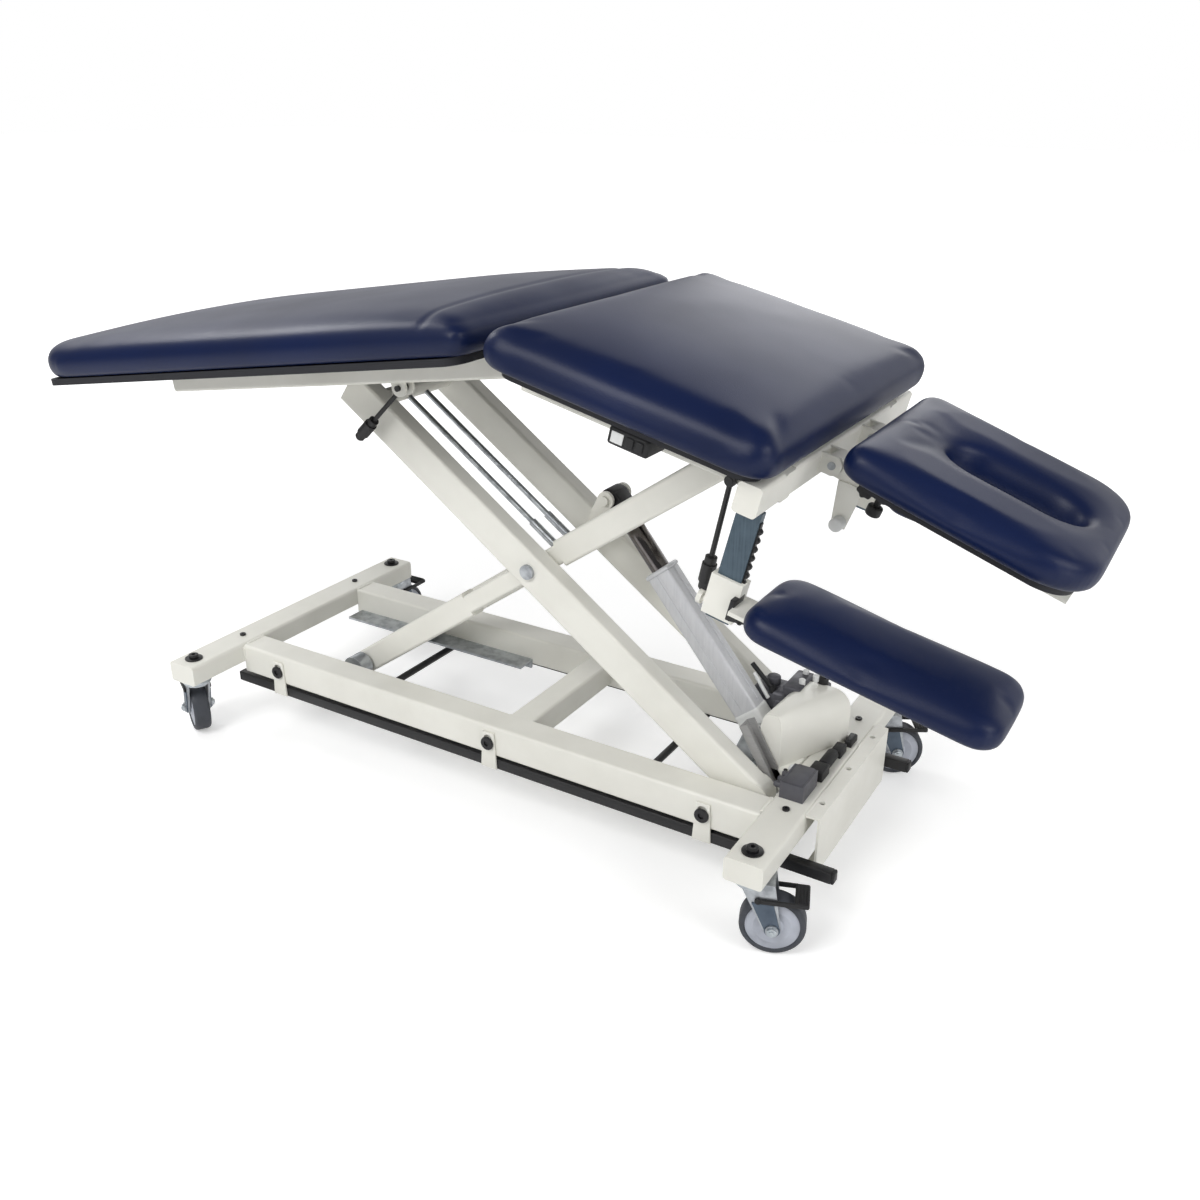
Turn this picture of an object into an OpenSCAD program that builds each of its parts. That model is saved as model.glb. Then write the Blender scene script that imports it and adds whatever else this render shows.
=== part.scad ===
// Five-section chiropractic table: a padded leg, seat and face section and two armrests
// on a crossed-arm lift with castors and a foot bar along each side.
// X points to the head end, Y to the far side, Z up; the origin is on the floor under the base.

/* [Base] */
// Length of the base over its two cross beams
base_len = 1260; // [1180:5:1340]
// Width of the base over the ends of the outriggers
base_w = 654; // [640:2:700]
// Height of the top of the cross beams over the floor
base_top = 172; // [170:1:180]
// Width of a cross beam
beam_w = 64; // [58:1:70]
// Depth of a cross beam
beam_h = 41; // [38:1:42]
// Distance between the centre lines of the two side rails
rail_gap = 336; // [334:1:350]
// Width of a side rail
rail_w = 58; // [54:1:60]
// Depth of a side rail
rail_h = 60; // [56:1:62]
// Wall of the steel tubes
tube_wall = 3; // [2.5:0.5:4]
// Corner radius of the steel tubes
tube_r = 6; // [5:0.5:8]
// Depth of the channel across the head end
channel_h = 107; // [95:1:110]
// How far the channel stands out past the head beam
channel_d = 24; // [20:1:30]
// Sheet thickness of the channel
channel_t = 4; // [3:0.5:6]

/* [Castors] */
// Diameter of a castor wheel
wheel_d = 102; // [96:1:106]
// Width of a castor wheel
wheel_w = 32; // [28:1:36]
// Distance from a swivel axis to the wheel's axle
wheel_trail = 38; // [34:1:40]
// Distance from a beam's end to the swivel axis
castor_inset = 32; // [30:1:40]
// Radius of the swivel stem
stem_r = 10; // [8:0.5:12]
// Thickness of the fork's sheet
fork_t = 4; // [3:0.5:5]
// Radius of the wheel's axle bolt
axle_r = 5; // [4:0.5:6]

/* [Lift] */
// Angle of the lift arms to the floor
lift_angle = 35.4; // [30:0.2:38]
// Distance from the base pivot to the mid bolt
lower_reach = 528; // [515:1:540]
// Distance from the mid bolt to an arm's top end
upper_reach = 458; // [445:1:470]
// Distance of the base pivot from the base's head end
pivot_inset = 109; // [105:1:115]
// Height of the base pivot
pivot_z = 146; // [142:1:150]
// Depth of a main arm
arm_h = 65; // [58:1:68]
// Thickness of a main arm
arm_w = 37; // [34:1:38]
// Distance from the middle plane to a main arm's inner face
arm_in = 96; // [95:1:98]
// Depth of a link arm at its two wide ends
link_h = 48; // [44:1:50]
// Depth of a link arm in its narrow middle
neck_h = 35; // [32:1:38]
// Thickness of a link arm
link_w = 34; // [30:1:34]
// Distance from the middle plane to a link arm's inner face
link_in = 55; // [53:1:57]
// Radius of the mid, pivot and crosshead shafts
shaft_r = 12; // [10:0.5:13]
// Radius of the rollers under the link arms
roller_r = 24; // [22:0.5:26]

/* [Actuator] */
// Distance of the actuator's lower pin from the base's head end
act_inset = 150; // [146:1:154]
// Height of the actuator's lower pin
act_z = 202; // [198:1:206]
// Distance of the rod's top pin along the link arm from the mid bolt
act_pin_x = 141; // [138:1:146]
// Distance of the rod's top pin above the link arm's centre line
act_pin_z = 41; // [38:1:44]
// Width of the actuator's outer tube
act_w = 38; // [34:1:42]
// Depth of the actuator's outer tube
act_h = 49; // [44:1:50]
// Radius of the actuator's rod
act_rod_r = 17; // [14:0.5:18]
// Length of the rod that shows
act_open = 150; // [140:1:160]

/* [Top] */
// Width of the leg and seat cushions
top_w = 684; // [660:2:720]
// Length of the leg cushion
leg_len = 1060; // [980:5:1100]
// Length of the seat cushion
seat_len = 461; // [450:1:480]
// Thickness of the leg and seat cushions
cushion_t = 60; // [52:1:64]
// Thickness of the boards
board_t = 12; // [10:1:15]
// Depth of the leg and seat frames' tubes
frame_h = 44; // [40:1:46]
// Width of the leg and seat frames' tubes
frame_w = 36; // [32:1:38]
// Slope of the leg section down to the foot end
leg_tilt = 9; // [6:0.5:10]
// Slope of the seat section down to the head end
seat_tilt = 13.2; // [10:0.2:14]
// Slope of the head section down to its outer end
head_tilt = 20; // [16:0.5:22]

/* [Head section] */
// Width of the head cushion
head_w = 372; // [360:2:390]
// Length of the head cushion
head_len = 355; // [340:1:370]
// Thickness of the head cushion
head_t = 50; // [44:1:54]
// Length of the face slot
slot_len = 205; // [190:1:215]
// Width of the face slot
slot_w = 92; // [84:1:100]

/* [Armrests] */
// Width of an armrest cushion
pad_w = 163; // [150:1:168]
// Length of an armrest cushion
pad_len = 348; // [320:1:360]
// Thickness of an armrest cushion
pad_t = 42; // [38:1:46]
// Distance from the middle plane to an armrest post
post_y = 283; // [278:1:290]
// Depth of an armrest post along the table
post_w = 36; // [32:1:38]
// Thickness of an armrest post
post_t = 14; // [12:1:16]
// Length of an armrest post below the seat frame
post_len = 172; // [165:1:185]

/* [Foot bars] */
// Length of a foot bar
bar_len = 1275; // [1200:5:1300]
// Depth of a foot bar
bar_h = 20; // [16:1:20]
// Width of a foot bar
bar_w = 18; // [14:1:20]

/* [Hidden] */
$fn = 48;

// Clearances: between a shaft and its bore, between faces that slide, and an overrun for cuts
run_gap = 0.05;
slide_gap = 0.3;
cut = 1;

// Colours
cream = [0.9, 0.9, 0.87];
navy = [0.08, 0.13, 0.35];
black = [0.07, 0.07, 0.08];
steel = [0.62, 0.64, 0.66];
post_blue = [0.32, 0.4, 0.46];
silver = [0.75, 0.76, 0.78];
wood = [0.5, 0.4, 0.28];

// Places worked out from the driving sizes
beam_x = base_len / 2 - beam_w / 2;
beam_z = base_top - beam_h;
rail_len = base_len - 2 * beam_w;
rail_drop = 3;
rail_top = base_top - rail_drop;
rail_y = rail_gap / 2;
rail_in = rail_y - rail_w / 2;
rail_out = rail_y + rail_w / 2;
castor_y = base_w / 2 - castor_inset;
pivot_x = base_len / 2 - pivot_inset;
act_x = base_len / 2 - act_inset;
mid = [pivot_x - lower_reach * cos(lift_angle), pivot_z + lower_reach * sin(lift_angle)];
top = [mid[0] + upper_reach * cos(lift_angle), mid[1] + upper_reach * sin(lift_angle)];
roll = [mid[0] - lower_reach * cos(lift_angle), mid[1] - lower_reach * sin(lift_angle)];
rod_pin = [mid[0] + act_pin_x * cos(lift_angle) - act_pin_z * sin(lift_angle),
    mid[1] + act_pin_x * sin(lift_angle) + act_pin_z * cos(lift_angle)];
act_angle = atan2(rod_pin[1] - act_z, rod_pin[0] - act_x);
act_len = norm([rod_pin[0] - act_x, rod_pin[1] - act_z]);

// Heights in the seat section's own frame, whose origin is the crosshead shaft
frame_low = 1.5;
frame_top = frame_low + frame_h;
cushion_low = frame_top + board_t;
hinge_w = frame_low + frame_h / 2;
// Ends of the seat cushion and the two hinges, along the seat section
seat_head_end = 120;
seat_foot_end = seat_head_end - seat_len;
section_gap = 6;
peak_u = seat_foot_end - section_gap;
head_hinge_out = 11;
head_hinge_u = seat_head_end + head_hinge_out;
head_hinge_w = 30;
// Place of the armrest crossbar and of the foot end crossbar along the seat section
post_u = 95;
foot_bar_in = 41;
foot_bar_u = seat_foot_end + foot_bar_in;

// A rounded rectangle about its centre
module round_rect(w, h, r) {
    square([w - 2 * r, h], center = true);
    square([w, h - 2 * r], center = true);
    for (sx = [-1, 1], sy = [-1, 1])
        translate([sx * (w / 2 - r), sy * (h / 2 - r)]) circle(r);
}

// A tube along X from x = 0, centred on Y and Z, open at both ends
module open_tube(len, w, h) {
    rotate([90, 0, 90]) linear_extrude(len) difference() {
        round_rect(w, h, tube_r);
        round_rect(w - 2 * tube_wall, h - 2 * tube_wall, tube_r - tube_wall);
    }
}

// A tube along X whose ends are closed by plates, with a drain hole below
drain_r = 3;
module closed_tube(len, w, h) {
    difference() {
        rotate([90, 0, 90]) linear_extrude(len) round_rect(w, h, tube_r);
        translate([tube_wall, 0, 0]) rotate([90, 0, 90]) linear_extrude(len - 2 * tube_wall)
            round_rect(w - 2 * tube_wall, h - 2 * tube_wall, tube_r - tube_wall);
        translate([len / 2, 0, -h / 2 - cut]) cylinder(r = drain_r, h = tube_wall + 2 * cut);
    }
}

// A cylinder along Y from y0 to y1
module y_rod(r, y0, y1) {
    translate([0, y1, 0]) rotate([90, 0, 0]) cylinder(r = r, h = y1 - y0);
}

// A flat bar in the XZ plane with slightly wider round ends at two points, from y0 to y1
waist = 0.5;
module y_bar(a, b, r, y0, y1) {
    len = norm(b - a);
    translate([a[0], 0, a[1]]) {
        y_rod(r, y0, y1);
        rotate([0, -atan2(b[1] - a[1], b[0] - a[0]), 0]) {
            translate([0, y0, waist - r]) cube([len, y1 - y0, 2 * (r - waist)]);
            translate([len, 0, 0]) y_rod(r, y0, y1);
        }
    }
}

// Places a child on both sides of the middle plane
module both_sides() {
    children();
    mirror([0, 1, 0]) children();
}

// The frames of the moving sections
module on_arm() {
    translate([mid[0], 0, mid[1]]) rotate([0, lift_angle, 0]) children();
}
module on_link() {
    translate([mid[0], 0, mid[1]]) rotate([0, -lift_angle, 0]) children();
}
module on_seat() {
    translate([top[0], 0, top[1]]) rotate([0, seat_tilt, 0]) children();
}
module on_leg() {
    on_seat() translate([peak_u, 0, hinge_w]) rotate([0, -leg_tilt - seat_tilt, 0]) children();
}
module on_head() {
    on_seat() translate([head_hinge_u, 0, head_hinge_w]) rotate([0, head_tilt - seat_tilt, 0])
        children();
}

// Outline of a cushion drawn in by d: a rectangle from x0 to x1 whose corners have the radius
// ra at x0 and rb at x1, with points along its sides
corner_steps = 5;
side_steps = 4;
least_r = 2;
function corner(cx, cy, r, a0) =
    [for (i = [0 : corner_steps]) let (a = a0 + 90 * i / corner_steps) [cx + r * cos(a), cy + r * sin(a)]];
function between(p, q) = [for (i = [1 : side_steps]) p + (q - p) * i / (side_steps + 1)];
function outline(x0, x1, hw, ra, rb, d) =
    let (qa = max(ra - d, least_r), qb = max(rb - d, least_r),
        a = corner(x1 - d - qb, hw - d - qb, qb, 0),
        b = corner(x0 + d + qa, hw - d - qa, qa, 90),
        c = corner(x0 + d + qa, -hw + d + qa, qa, 180),
        e = corner(x1 - d - qb, -hw + d + qb, qb, 270))
    concat(a, between(a[corner_steps], b[0]), b, between(b[corner_steps], c[0]), c,
        between(c[corner_steps], e[0]), e, between(e[corner_steps], a[0]));
ring_count = 4 * (corner_steps + 1 + side_steps);

// Faces between two neighbouring rings of a loft
function band(i, j, n) = [for (k = [0 : n - 1]) let (m = (k + 1) % n)
    each [[i * n + k, i * n + m, j * n + m], [i * n + k, j * n + m, j * n + k]]];

// Profile of a cushion's side, as shares of its thickness: how far in, and how high.
// The side is drawn in at its welt and swells above it.
side_in_shares = [0.16, 0.07, 0.015, 0, 0.03, 0.12, 0.27, 0.47];
side_up_shares = [0, 0.07, 0.22, 0.42, 0.62, 0.79, 0.9, 0.955];
// Rings of the crown as shares of the half width, and their height as shares of the crown
crown_in_shares = [0.3, 0.5, 0.72, 0.9];
crown_up_shares = [0.45, 0.74, 0.93, 1];

// A padded cushion from z = 0, whose sides are t high and whose top swells by the crown
module padded(x0, x1, hw, ra, rb, t, crown) {
    n = ring_count;
    reach = min(hw, (x1 - x0) / 2);
    sides = [for (i = [0 : len(side_in_shares) - 1])
        [for (p = outline(x0, x1, hw, ra, rb, t * side_in_shares[i])) [p[0], p[1], t * side_up_shares[i]]]];
    low = t * side_up_shares[len(side_up_shares) - 1];
    swell = [for (i = [0 : len(crown_in_shares) - 1])
        [for (p = outline(x0, x1, hw, ra, rb, reach * crown_in_shares[i]))
            [p[0], p[1], low + crown * crown_up_shares[i]]]];
    rings = concat(sides, swell);
    last = len(rings) - 1;
    under = n * (last + 1);
    over = under + 1;
    middle = (x0 + x1) / 2;
    polyhedron(
        points = concat([for (r = rings) each r], [[middle, 0, 0], [middle, 0, low + crown]]),
        faces = concat(
            [for (k = [0 : n - 1]) [under, k, (k + 1) % n]],
            [for (i = [0 : last - 1]) each [for (f = band(i, i + 1, n)) [f[2], f[1], f[0]]]],
            [for (k = [0 : n - 1]) [over, last * n + (k + 1) % n, last * n + k]]));
}

// A padded cushion with a slot through it, whose walls slope in towards the bottom
slot_in_shares = [0.62, 0.35, 0.14, 0.04, 0, 0.02];
slot_up_shares = [0.985, 0.93, 0.8, 0.55, 0.2, 0];
module padded_slot(x0, x1, hw, ra, rb, t, s0, s1, shw) {
    n = ring_count;
    sides = [for (i = [0 : len(side_in_shares) - 1])
        [for (p = outline(x0, x1, hw, ra, rb, t * side_in_shares[i])) [p[0], p[1], t * side_up_shares[i]]]];
    wall = [for (i = [0 : len(slot_in_shares) - 1]) let (g = t * slot_in_shares[i], r = shw + g)
        [for (p = outline(s0 - g, s1 + g, r, r, r, 0)) [p[0], p[1], t * slot_up_shares[i]]]];
    rings = concat(sides, wall);
    last = len(rings) - 1;
    polyhedron(
        points = [for (r = rings) each r],
        faces = concat(
            [for (i = [0 : last - 1]) each [for (f = band(i, i + 1, n)) [f[2], f[1], f[0]]]],
            [for (f = band(last, 0, n)) [f[2], f[1], f[0]]]));
}

// A board with rounded corners from z = 0 up to its thickness
module board(x0, x1, hw, r, t) {
    translate([(x0 + x1) / 2, 0, 0]) linear_extrude(t) round_rect(x1 - x0, 2 * hw, r);
}

// Side rails: two box tubes along the base, each with a bore for the main arm's pivot pin
pin_boss_r = 18;
pin_depth = 30;
module side_rails() {
    color(cream) both_sides() difference() {
        union() {
            translate([-rail_len / 2, rail_y, rail_top - rail_h / 2]) closed_tube(rail_len, rail_w, rail_h);
            translate([pivot_x, 0, pivot_z]) y_rod(pin_boss_r, rail_in, rail_in + pin_depth);
        }
        translate([pivot_x, 0, pivot_z]) y_rod(shaft_r + run_gap, rail_in - cut, rail_in + pin_depth + cut);
    }
}

// A cross beam with a stem bore near each end
stem_boss_r = 17;
module cross_beam() {
    difference() {
        union() {
            translate([0, -base_w / 2, beam_z + beam_h / 2]) rotate([0, 0, 90])
                closed_tube(base_w, beam_w, beam_h);
            for (s = [-1, 1]) translate([0, s * castor_y, beam_z + tube_wall / 2])
                cylinder(r = stem_boss_r, h = beam_h - tube_wall);
        }
        for (s = [-1, 1]) translate([0, s * castor_y, beam_z - cut])
            cylinder(r = stem_r + run_gap, h = beam_h + 2 * cut);
    }
}
module foot_beam() {
    color(cream) translate([-beam_x, 0, 0]) cross_beam();
}
module head_beam() {
    color(cream) translate([beam_x, 0, 0]) cross_beam();
}

// Tie between the side rails, near the middle of the base
tie_x = 75;
tie_w = 50;
tie_h = 50;
module middle_tie() {
    color(cream) translate([tie_x, -rail_in, rail_top - tie_h / 2 - rail_drop])
        rotate([0, 0, 90]) closed_tube(2 * rail_in, tie_w, tie_h);
}

// Deep channel across the head end, open towards the base
channel_len = 330;
channel_hole_r = 5;
channel_hole_y = 120;
module head_channel() {
    color(cream) translate([base_len / 2, 0, base_top]) difference() {
        translate([0, -channel_len / 2, -channel_h]) cube([channel_d, channel_len, channel_h]);
        translate([-cut, -channel_len / 2 - cut, -channel_h + channel_t])
            cube([channel_d - channel_t + cut, channel_len + 2 * cut, channel_h - 2 * channel_t]);
        for (s = [-1, 0, 1]) translate([(channel_d - channel_t) / 2, s * channel_hole_y, -channel_t - cut])
            cylinder(r = channel_hole_r, h = channel_t + 2 * cut);
    }
}

// Angle tracks on the inner faces of the side rails, under the rollers
track_t = 5;
track_lip = 14;
track_reach = 44;
track_foot_run = 215;
track_head_run = 250;
track_x0 = roll[0] - track_foot_run;
track_x1 = roll[0] + track_head_run;
module roller_tracks() {
    z = pivot_z - roller_r - slide_gap - track_t;
    color(steel) both_sides() translate([track_x0, rail_in - track_reach, z]) {
        cube([track_x1 - track_x0, track_reach, track_t]);
        translate([0, track_reach - track_t, -track_lip]) cube([track_x1 - track_x0, track_t, track_lip]);
    }
}

// Pins that carry the lower ends of the main arms in the side rails
pin_head_r = 19;
pin_head_t = 4;
module pivot_pins() {
    color(steel) both_sides() translate([pivot_x, 0, pivot_z]) {
        y_rod(shaft_r, arm_in - pin_head_t / 2, rail_in + pin_depth);
        y_rod(pin_head_r, arm_in - slide_gap - pin_head_t, arm_in - slide_gap);
    }
}

// Cap bolts on the beams, bolts of the tie and shoulder bolts that guide the foot bars
cap_r = 9;
cap_h = 5;
bolt_r = 6;
bolt_h = 4;
guide_r = 8;
guide_h = 9;
guide_head_share = 1.6;
guide_drop = 33;
guide_z = rail_top - guide_drop;
hanger_t = 4;
hanger_w = 34;
guide_x = [-470, 45, 470];
module frame_bolts() {
    color(black) {
        for (sx = [-1, 1], sy = [-1, 1]) translate([sx * beam_x, sy * castor_y, base_top]) {
            cylinder(r = stem_boss_r, h = cap_h / 2);
            cylinder(r = cap_r, h = cap_h);
        }
        for (sx = [-1, 1], sy = [-1, 1]) translate([sx * beam_x, sy * rail_y, base_top])
            cylinder(r = bolt_r, h = bolt_h);
        both_sides() for (x = guide_x) translate([x, 0, guide_z]) {
            y_rod(guide_r, rail_out, rail_out + hanger_t + 2 * slide_gap);
            y_rod(guide_r * guide_head_share, rail_out + hanger_t + 2 * slide_gap,
                rail_out + guide_h + slide_gap);
        }
    }
}

// Rounded cover over the drive, across the base at the head end
cover_inset = 127;
cover_x0 = base_len / 2 - cover_inset;
cover_l = 104;
cover_y0 = -62;
cover_y1 = 86;
cover_top = 268;
cover_r = 34;
module motor_cover() {
    color(cream) {
        translate([cover_x0, cover_y1, base_top + slide_gap]) rotate([90, 0, 0])
            linear_extrude(cover_y1 - cover_y0) {
                square([cover_l, cover_top - base_top - cover_r]);
                translate([cover_r, 0]) square([cover_l - 2 * cover_r, cover_top - base_top]);
                for (x = [cover_r, cover_l - cover_r])
                    translate([x, cover_top - base_top - cover_r]) circle(cover_r);
            }
        translate([cover_x0, cover_y0, beam_z])
            cube([base_len / 2 - beam_w - cover_x0, cover_y1 - cover_y0, base_top + cut - beam_z]);
    }
}

// Control box on the head beam
box_size = [40, 62, 30];
box_y = -140;
module control_box() {
    color(black) translate([base_len / 2 - beam_w + 2 * bolt_h, box_y, base_top]) cube(box_size);
}

// Plate and two ears that hold the actuator's lower pin
mount_t = 6;
mount_w = 130;
ear_r = 18;
ear_t = 6;
ear_clear = 7;
ear_gap = act_w / 2 + ear_clear;
mount_back = 42;
mount_x0 = act_x - mount_back;
act_pin_r = 8;
module actuator_mount() {
    x1 = base_len / 2 - beam_w;
    color(steel) difference() {
        union() {
            translate([mount_x0, -mount_w / 2, beam_z + tube_wall])
                cube([cover_x0 - slide_gap - mount_x0, mount_w, mount_t]);
            translate([mount_x0, -mount_w / 2, beam_z - mount_t])
                cube([x1 - mount_x0, mount_w, mount_t]);
            translate([mount_x0, -mount_w / 2, beam_z - mount_t]) cube([mount_t, mount_w, 3 * mount_t]);
            both_sides() hull() {
                translate([act_x, 0, act_z]) y_rod(ear_r, ear_gap, ear_gap + ear_t);
                translate([mount_x0, ear_gap, beam_z + tube_wall]) cube([2 * ear_r, ear_t, mount_t]);
            }
        }
        translate([act_x, 0, act_z]) y_rod(act_pin_r + run_gap, -mount_w / 2, mount_w / 2);
    }
}

// Foot bars along both sides, joined by two cross rods under the rails
bar_drop = 5;
bar_z = rail_top - rail_h - bar_drop - bar_h;
bar_x0 = -585;
bar_y = rail_out - bar_w;
rod_x = [-300, 300];
rod_r = 7;
bar_travel = 8;
bar_slot = 12;
module foot_bar() {
    color(black) {
        both_sides() {
            translate([bar_x0, bar_y, bar_z]) cube([bar_len, bar_w, bar_h]);
            for (x = guide_x) difference() {
                union() {
                    translate([x - hanger_w / 2, rail_out + slide_gap, bar_z])
                        cube([hanger_w, hanger_t, guide_z - bar_z + hanger_w / 2]);
                    translate([x - hanger_w / 2, rail_out - slide_gap, bar_z])
                        cube([hanger_w, hanger_t, bar_h]);
                }
                for (dz = [-bar_travel / 2 - slide_gap, bar_travel + slide_gap])
                    translate([x, 0, guide_z + dz])
                        y_rod(guide_r + slide_gap, rail_out - cut, rail_out + 2 * hanger_t);
                translate([x - guide_r - slide_gap, rail_out - cut, guide_z - bar_travel / 2 - slide_gap])
                    cube([2 * (guide_r + slide_gap), 3 * hanger_t, bar_slot + 2 * slide_gap]);
            }
        }
        for (x = rod_x) translate([x, 0, bar_z + bar_h / 2]) y_rod(rod_r, -bar_y - cut, bar_y + cut);
    }
}

// Castors: place of each swivel axis and the way that its wheel trails, at rest
castor_at = [[beam_x, -castor_y], [beam_x, castor_y], [-beam_x, -castor_y], [-beam_x, castor_y]];
castor_turn = [20, 30, 150, 90];
module at_castor(i) {
    translate([castor_at[i][0], castor_at[i][1], 0]) rotate([0, 0, castor_turn[i]]) children();
}
wheel_gap = 2;
crown_r = 26;
crown_t = 6;
fork_foot_r = 13;
// A castor's fork: stem, crown and two legs down to the axle, with the axle bolt
module castor_fork(i) {
    y0 = wheel_w / 2 + wheel_gap;
    z1 = beam_z - slide_gap;
    color(steel) at_castor(i) {
        translate([0, 0, z1 - crown_t / 2]) cylinder(r = stem_r, h = crown_t / 2 + beam_h);
        translate([0, 0, z1 - crown_t]) cylinder(r = crown_r, h = crown_t);
        translate([-crown_r / 2, -y0 - fork_t, z1 - crown_t])
            cube([wheel_trail + crown_r / 2, 2 * (y0 + fork_t), crown_t]);
        both_sides() hull() {
            translate([wheel_trail, 0, wheel_d / 2]) y_rod(fork_foot_r, y0, y0 + fork_t);
            translate([-crown_r / 2, y0, z1 - crown_t]) cube([wheel_trail + crown_r / 2, fork_t, crown_t]);
        }
        translate([wheel_trail, 0, wheel_d / 2]) {
            y_rod(axle_r, -y0 - fork_t, y0 + fork_t);
            both_sides() y_rod(2 * axle_r, y0 + fork_t, y0 + fork_t + axle_r);
        }
    }
}
// A castor's wheel: a rounded tread on a disc with raised hub faces, and its axle bore
tread_r = 9;
tread_depth = 15;
hub_r = wheel_d / 2 - tread_depth;
dish = 3;
module castor_wheel(i) {
    r = wheel_d / 2;
    h = wheel_w / 2;
    color([0.55, 0.56, 0.58]) at_castor(i) translate([wheel_trail, 0, r]) rotate([90, 0, 0]) rotate_extrude()
        difference() {
            union() {
                translate([0, -h]) square([r - tread_r, wheel_w]);
                translate([0, -h + tread_r]) square([r, wheel_w - 2 * tread_r]);
                for (s = [-1, 1]) translate([r - tread_r, s * (h - tread_r)]) circle(tread_r);
            }
            translate([0, -wheel_w]) square([axle_r + run_gap, 2 * wheel_w]);
            for (s = [0, 1]) translate([3 * axle_r, s * (wheel_w - dish) - h])
                square([hub_r - 3 * axle_r, dish]);
            translate([-r, -wheel_w]) square([r, 2 * wheel_w]);
        }
}
// A castor's brake pedal: a cross pin under the crown and a tread behind the wheel
pedal_hinge_x = 14;
pedal_reach = 36;
pedal_x = wheel_trail + pedal_reach;
pedal_z = wheel_d;
pedal_t = 5;
pedal_l = 21;
module brake_pedal(i) {
    y0 = wheel_w / 2 + wheel_gap + fork_t + slide_gap;
    color(black) at_castor(i) {
        both_sides()
            y_bar([pedal_hinge_x, pedal_z], [pedal_x, pedal_z], pedal_t - cut, y0, y0 + fork_t);
        translate([pedal_x - pedal_t, -y0 - fork_t, pedal_z - pedal_t])
            cube([pedal_l, 2 * (y0 + fork_t), 2 * pedal_t]);
    }
}

// Main arm on the side s: a box tube with bores at its lower pivot and at the mid shaft
arm_tail = 8;
sleeve_r = 20;
module main_arm(s) {
    color(cream) on_arm() translate([0, s * (arm_in + arm_w / 2), 0]) difference() {
        union() {
            difference() {
                union() {
                    translate([-upper_reach - arm_tail, 0, 0]) open_tube(upper_reach + arm_tail + lower_reach,
                        arm_w, arm_h);
                    translate([lower_reach, 0, 0]) y_rod(arm_h / 2, -arm_w / 2, arm_w / 2);
                }
                translate([lower_reach, 0, 0])
                    y_rod(arm_h / 2 - tube_wall, -arm_w / 2 + tube_wall, arm_w / 2 - tube_wall);
            }
            for (x = [0, lower_reach]) translate([x, 0, 0])
                y_rod(sleeve_r, -arm_w / 2 + cut, arm_w / 2 - cut);
        }
        for (x = [0, lower_reach]) translate([x, 0, 0]) y_rod(shaft_r + run_gap, -arm_w, arm_w);
    }
}
module near_arm() { main_arm(-1); }
module far_arm() { main_arm(1); }

// Tie between the main arms: a round tube near their top ends
tie_r = 15;
top_tie_in = 38;
top_tie_x = -upper_reach + top_tie_in;
module arm_tie() {
    color(cream) on_arm() translate([top_tie_x, 0, 0]) difference() {
        y_rod(tie_r, -arm_in, arm_in);
        y_rod(tie_r - tube_wall, -arm_in - cut, arm_in + cut);
    }
}

// Shaft through both pairs of arms, with a round head at each end
head_r = 13;
head_h = 6;
module mid_shaft() {
    y1 = arm_in + arm_w;
    color(steel) on_arm() {
        y_rod(shaft_r, -y1, y1);
        both_sides() y_rod(head_r, y1, y1 + head_h);
    }
}

// Two bright stay rods between the main arms, from the top tie to a collar on the mid shaft
stay_r = 5;
stay_y = 24;
collar_t = 6;
collar_r = shaft_r + collar_t;
collar_w = 16;
stay_end = 60;
stay_end_share = 1.5;
module stay_rods() {
    color(silver) on_arm() both_sides() {
        translate([top_tie_x + tie_r, stay_y, 0]) rotate([0, 90, 0])
            cylinder(r = stay_r, h = -top_tie_x - tie_r - collar_r + cut);
        translate([-collar_r - stay_end, stay_y, 0]) rotate([0, 90, 0])
            cylinder(r = stay_r * stay_end_share, h = stay_end + cut);
        difference() {
            y_rod(collar_r, stay_y - collar_w / 2, stay_y + collar_w / 2);
            y_rod(shaft_r + run_gap, stay_y - collar_w, stay_y + collar_w);
        }
    }
}

// Link arm on the side s: a narrow tube in the middle and wide tubes at both ends
wide_low = -205;
wide_high = 42;
link_tail = 27;
side_clear = 6;
roller_y0 = link_in + link_w + side_clear;
roller_w = 30;
roller_pin_r = 8;
roller_pin_tip = 4;
module link_arm(s) {
    color(cream) on_link() difference() {
        union() {
            translate([0, s * (link_in + link_w / 2), 0]) {
                translate([-lower_reach - link_tail, 0, 0])
                    closed_tube(lower_reach + link_tail + wide_low, link_w, link_h);
                translate([wide_low, 0, 0]) open_tube(wide_high - wide_low, link_w, neck_h);
                translate([wide_high, 0, 0])
                    closed_tube(upper_reach + link_tail - wide_high, link_w, link_h);
                translate([-cut, 0, 0]) y_rod(neck_h / 2 - cut, -link_w / 2 + cut, link_w / 2 - cut);
                translate([upper_reach, 0, 0]) y_rod(sleeve_r, -link_w / 2 + cut, link_w / 2 - cut);
            }
        }
        for (x = [0, upper_reach]) translate([x, 0, 0]) y_rod(shaft_r + run_gap, -arm_in, arm_in);
        translate([-lower_reach, 0, 0]) y_rod(roller_pin_r + run_gap, -arm_in, arm_in);
    }
}
module near_link() { link_arm(-1); }
module far_link() { link_arm(1); }

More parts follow.
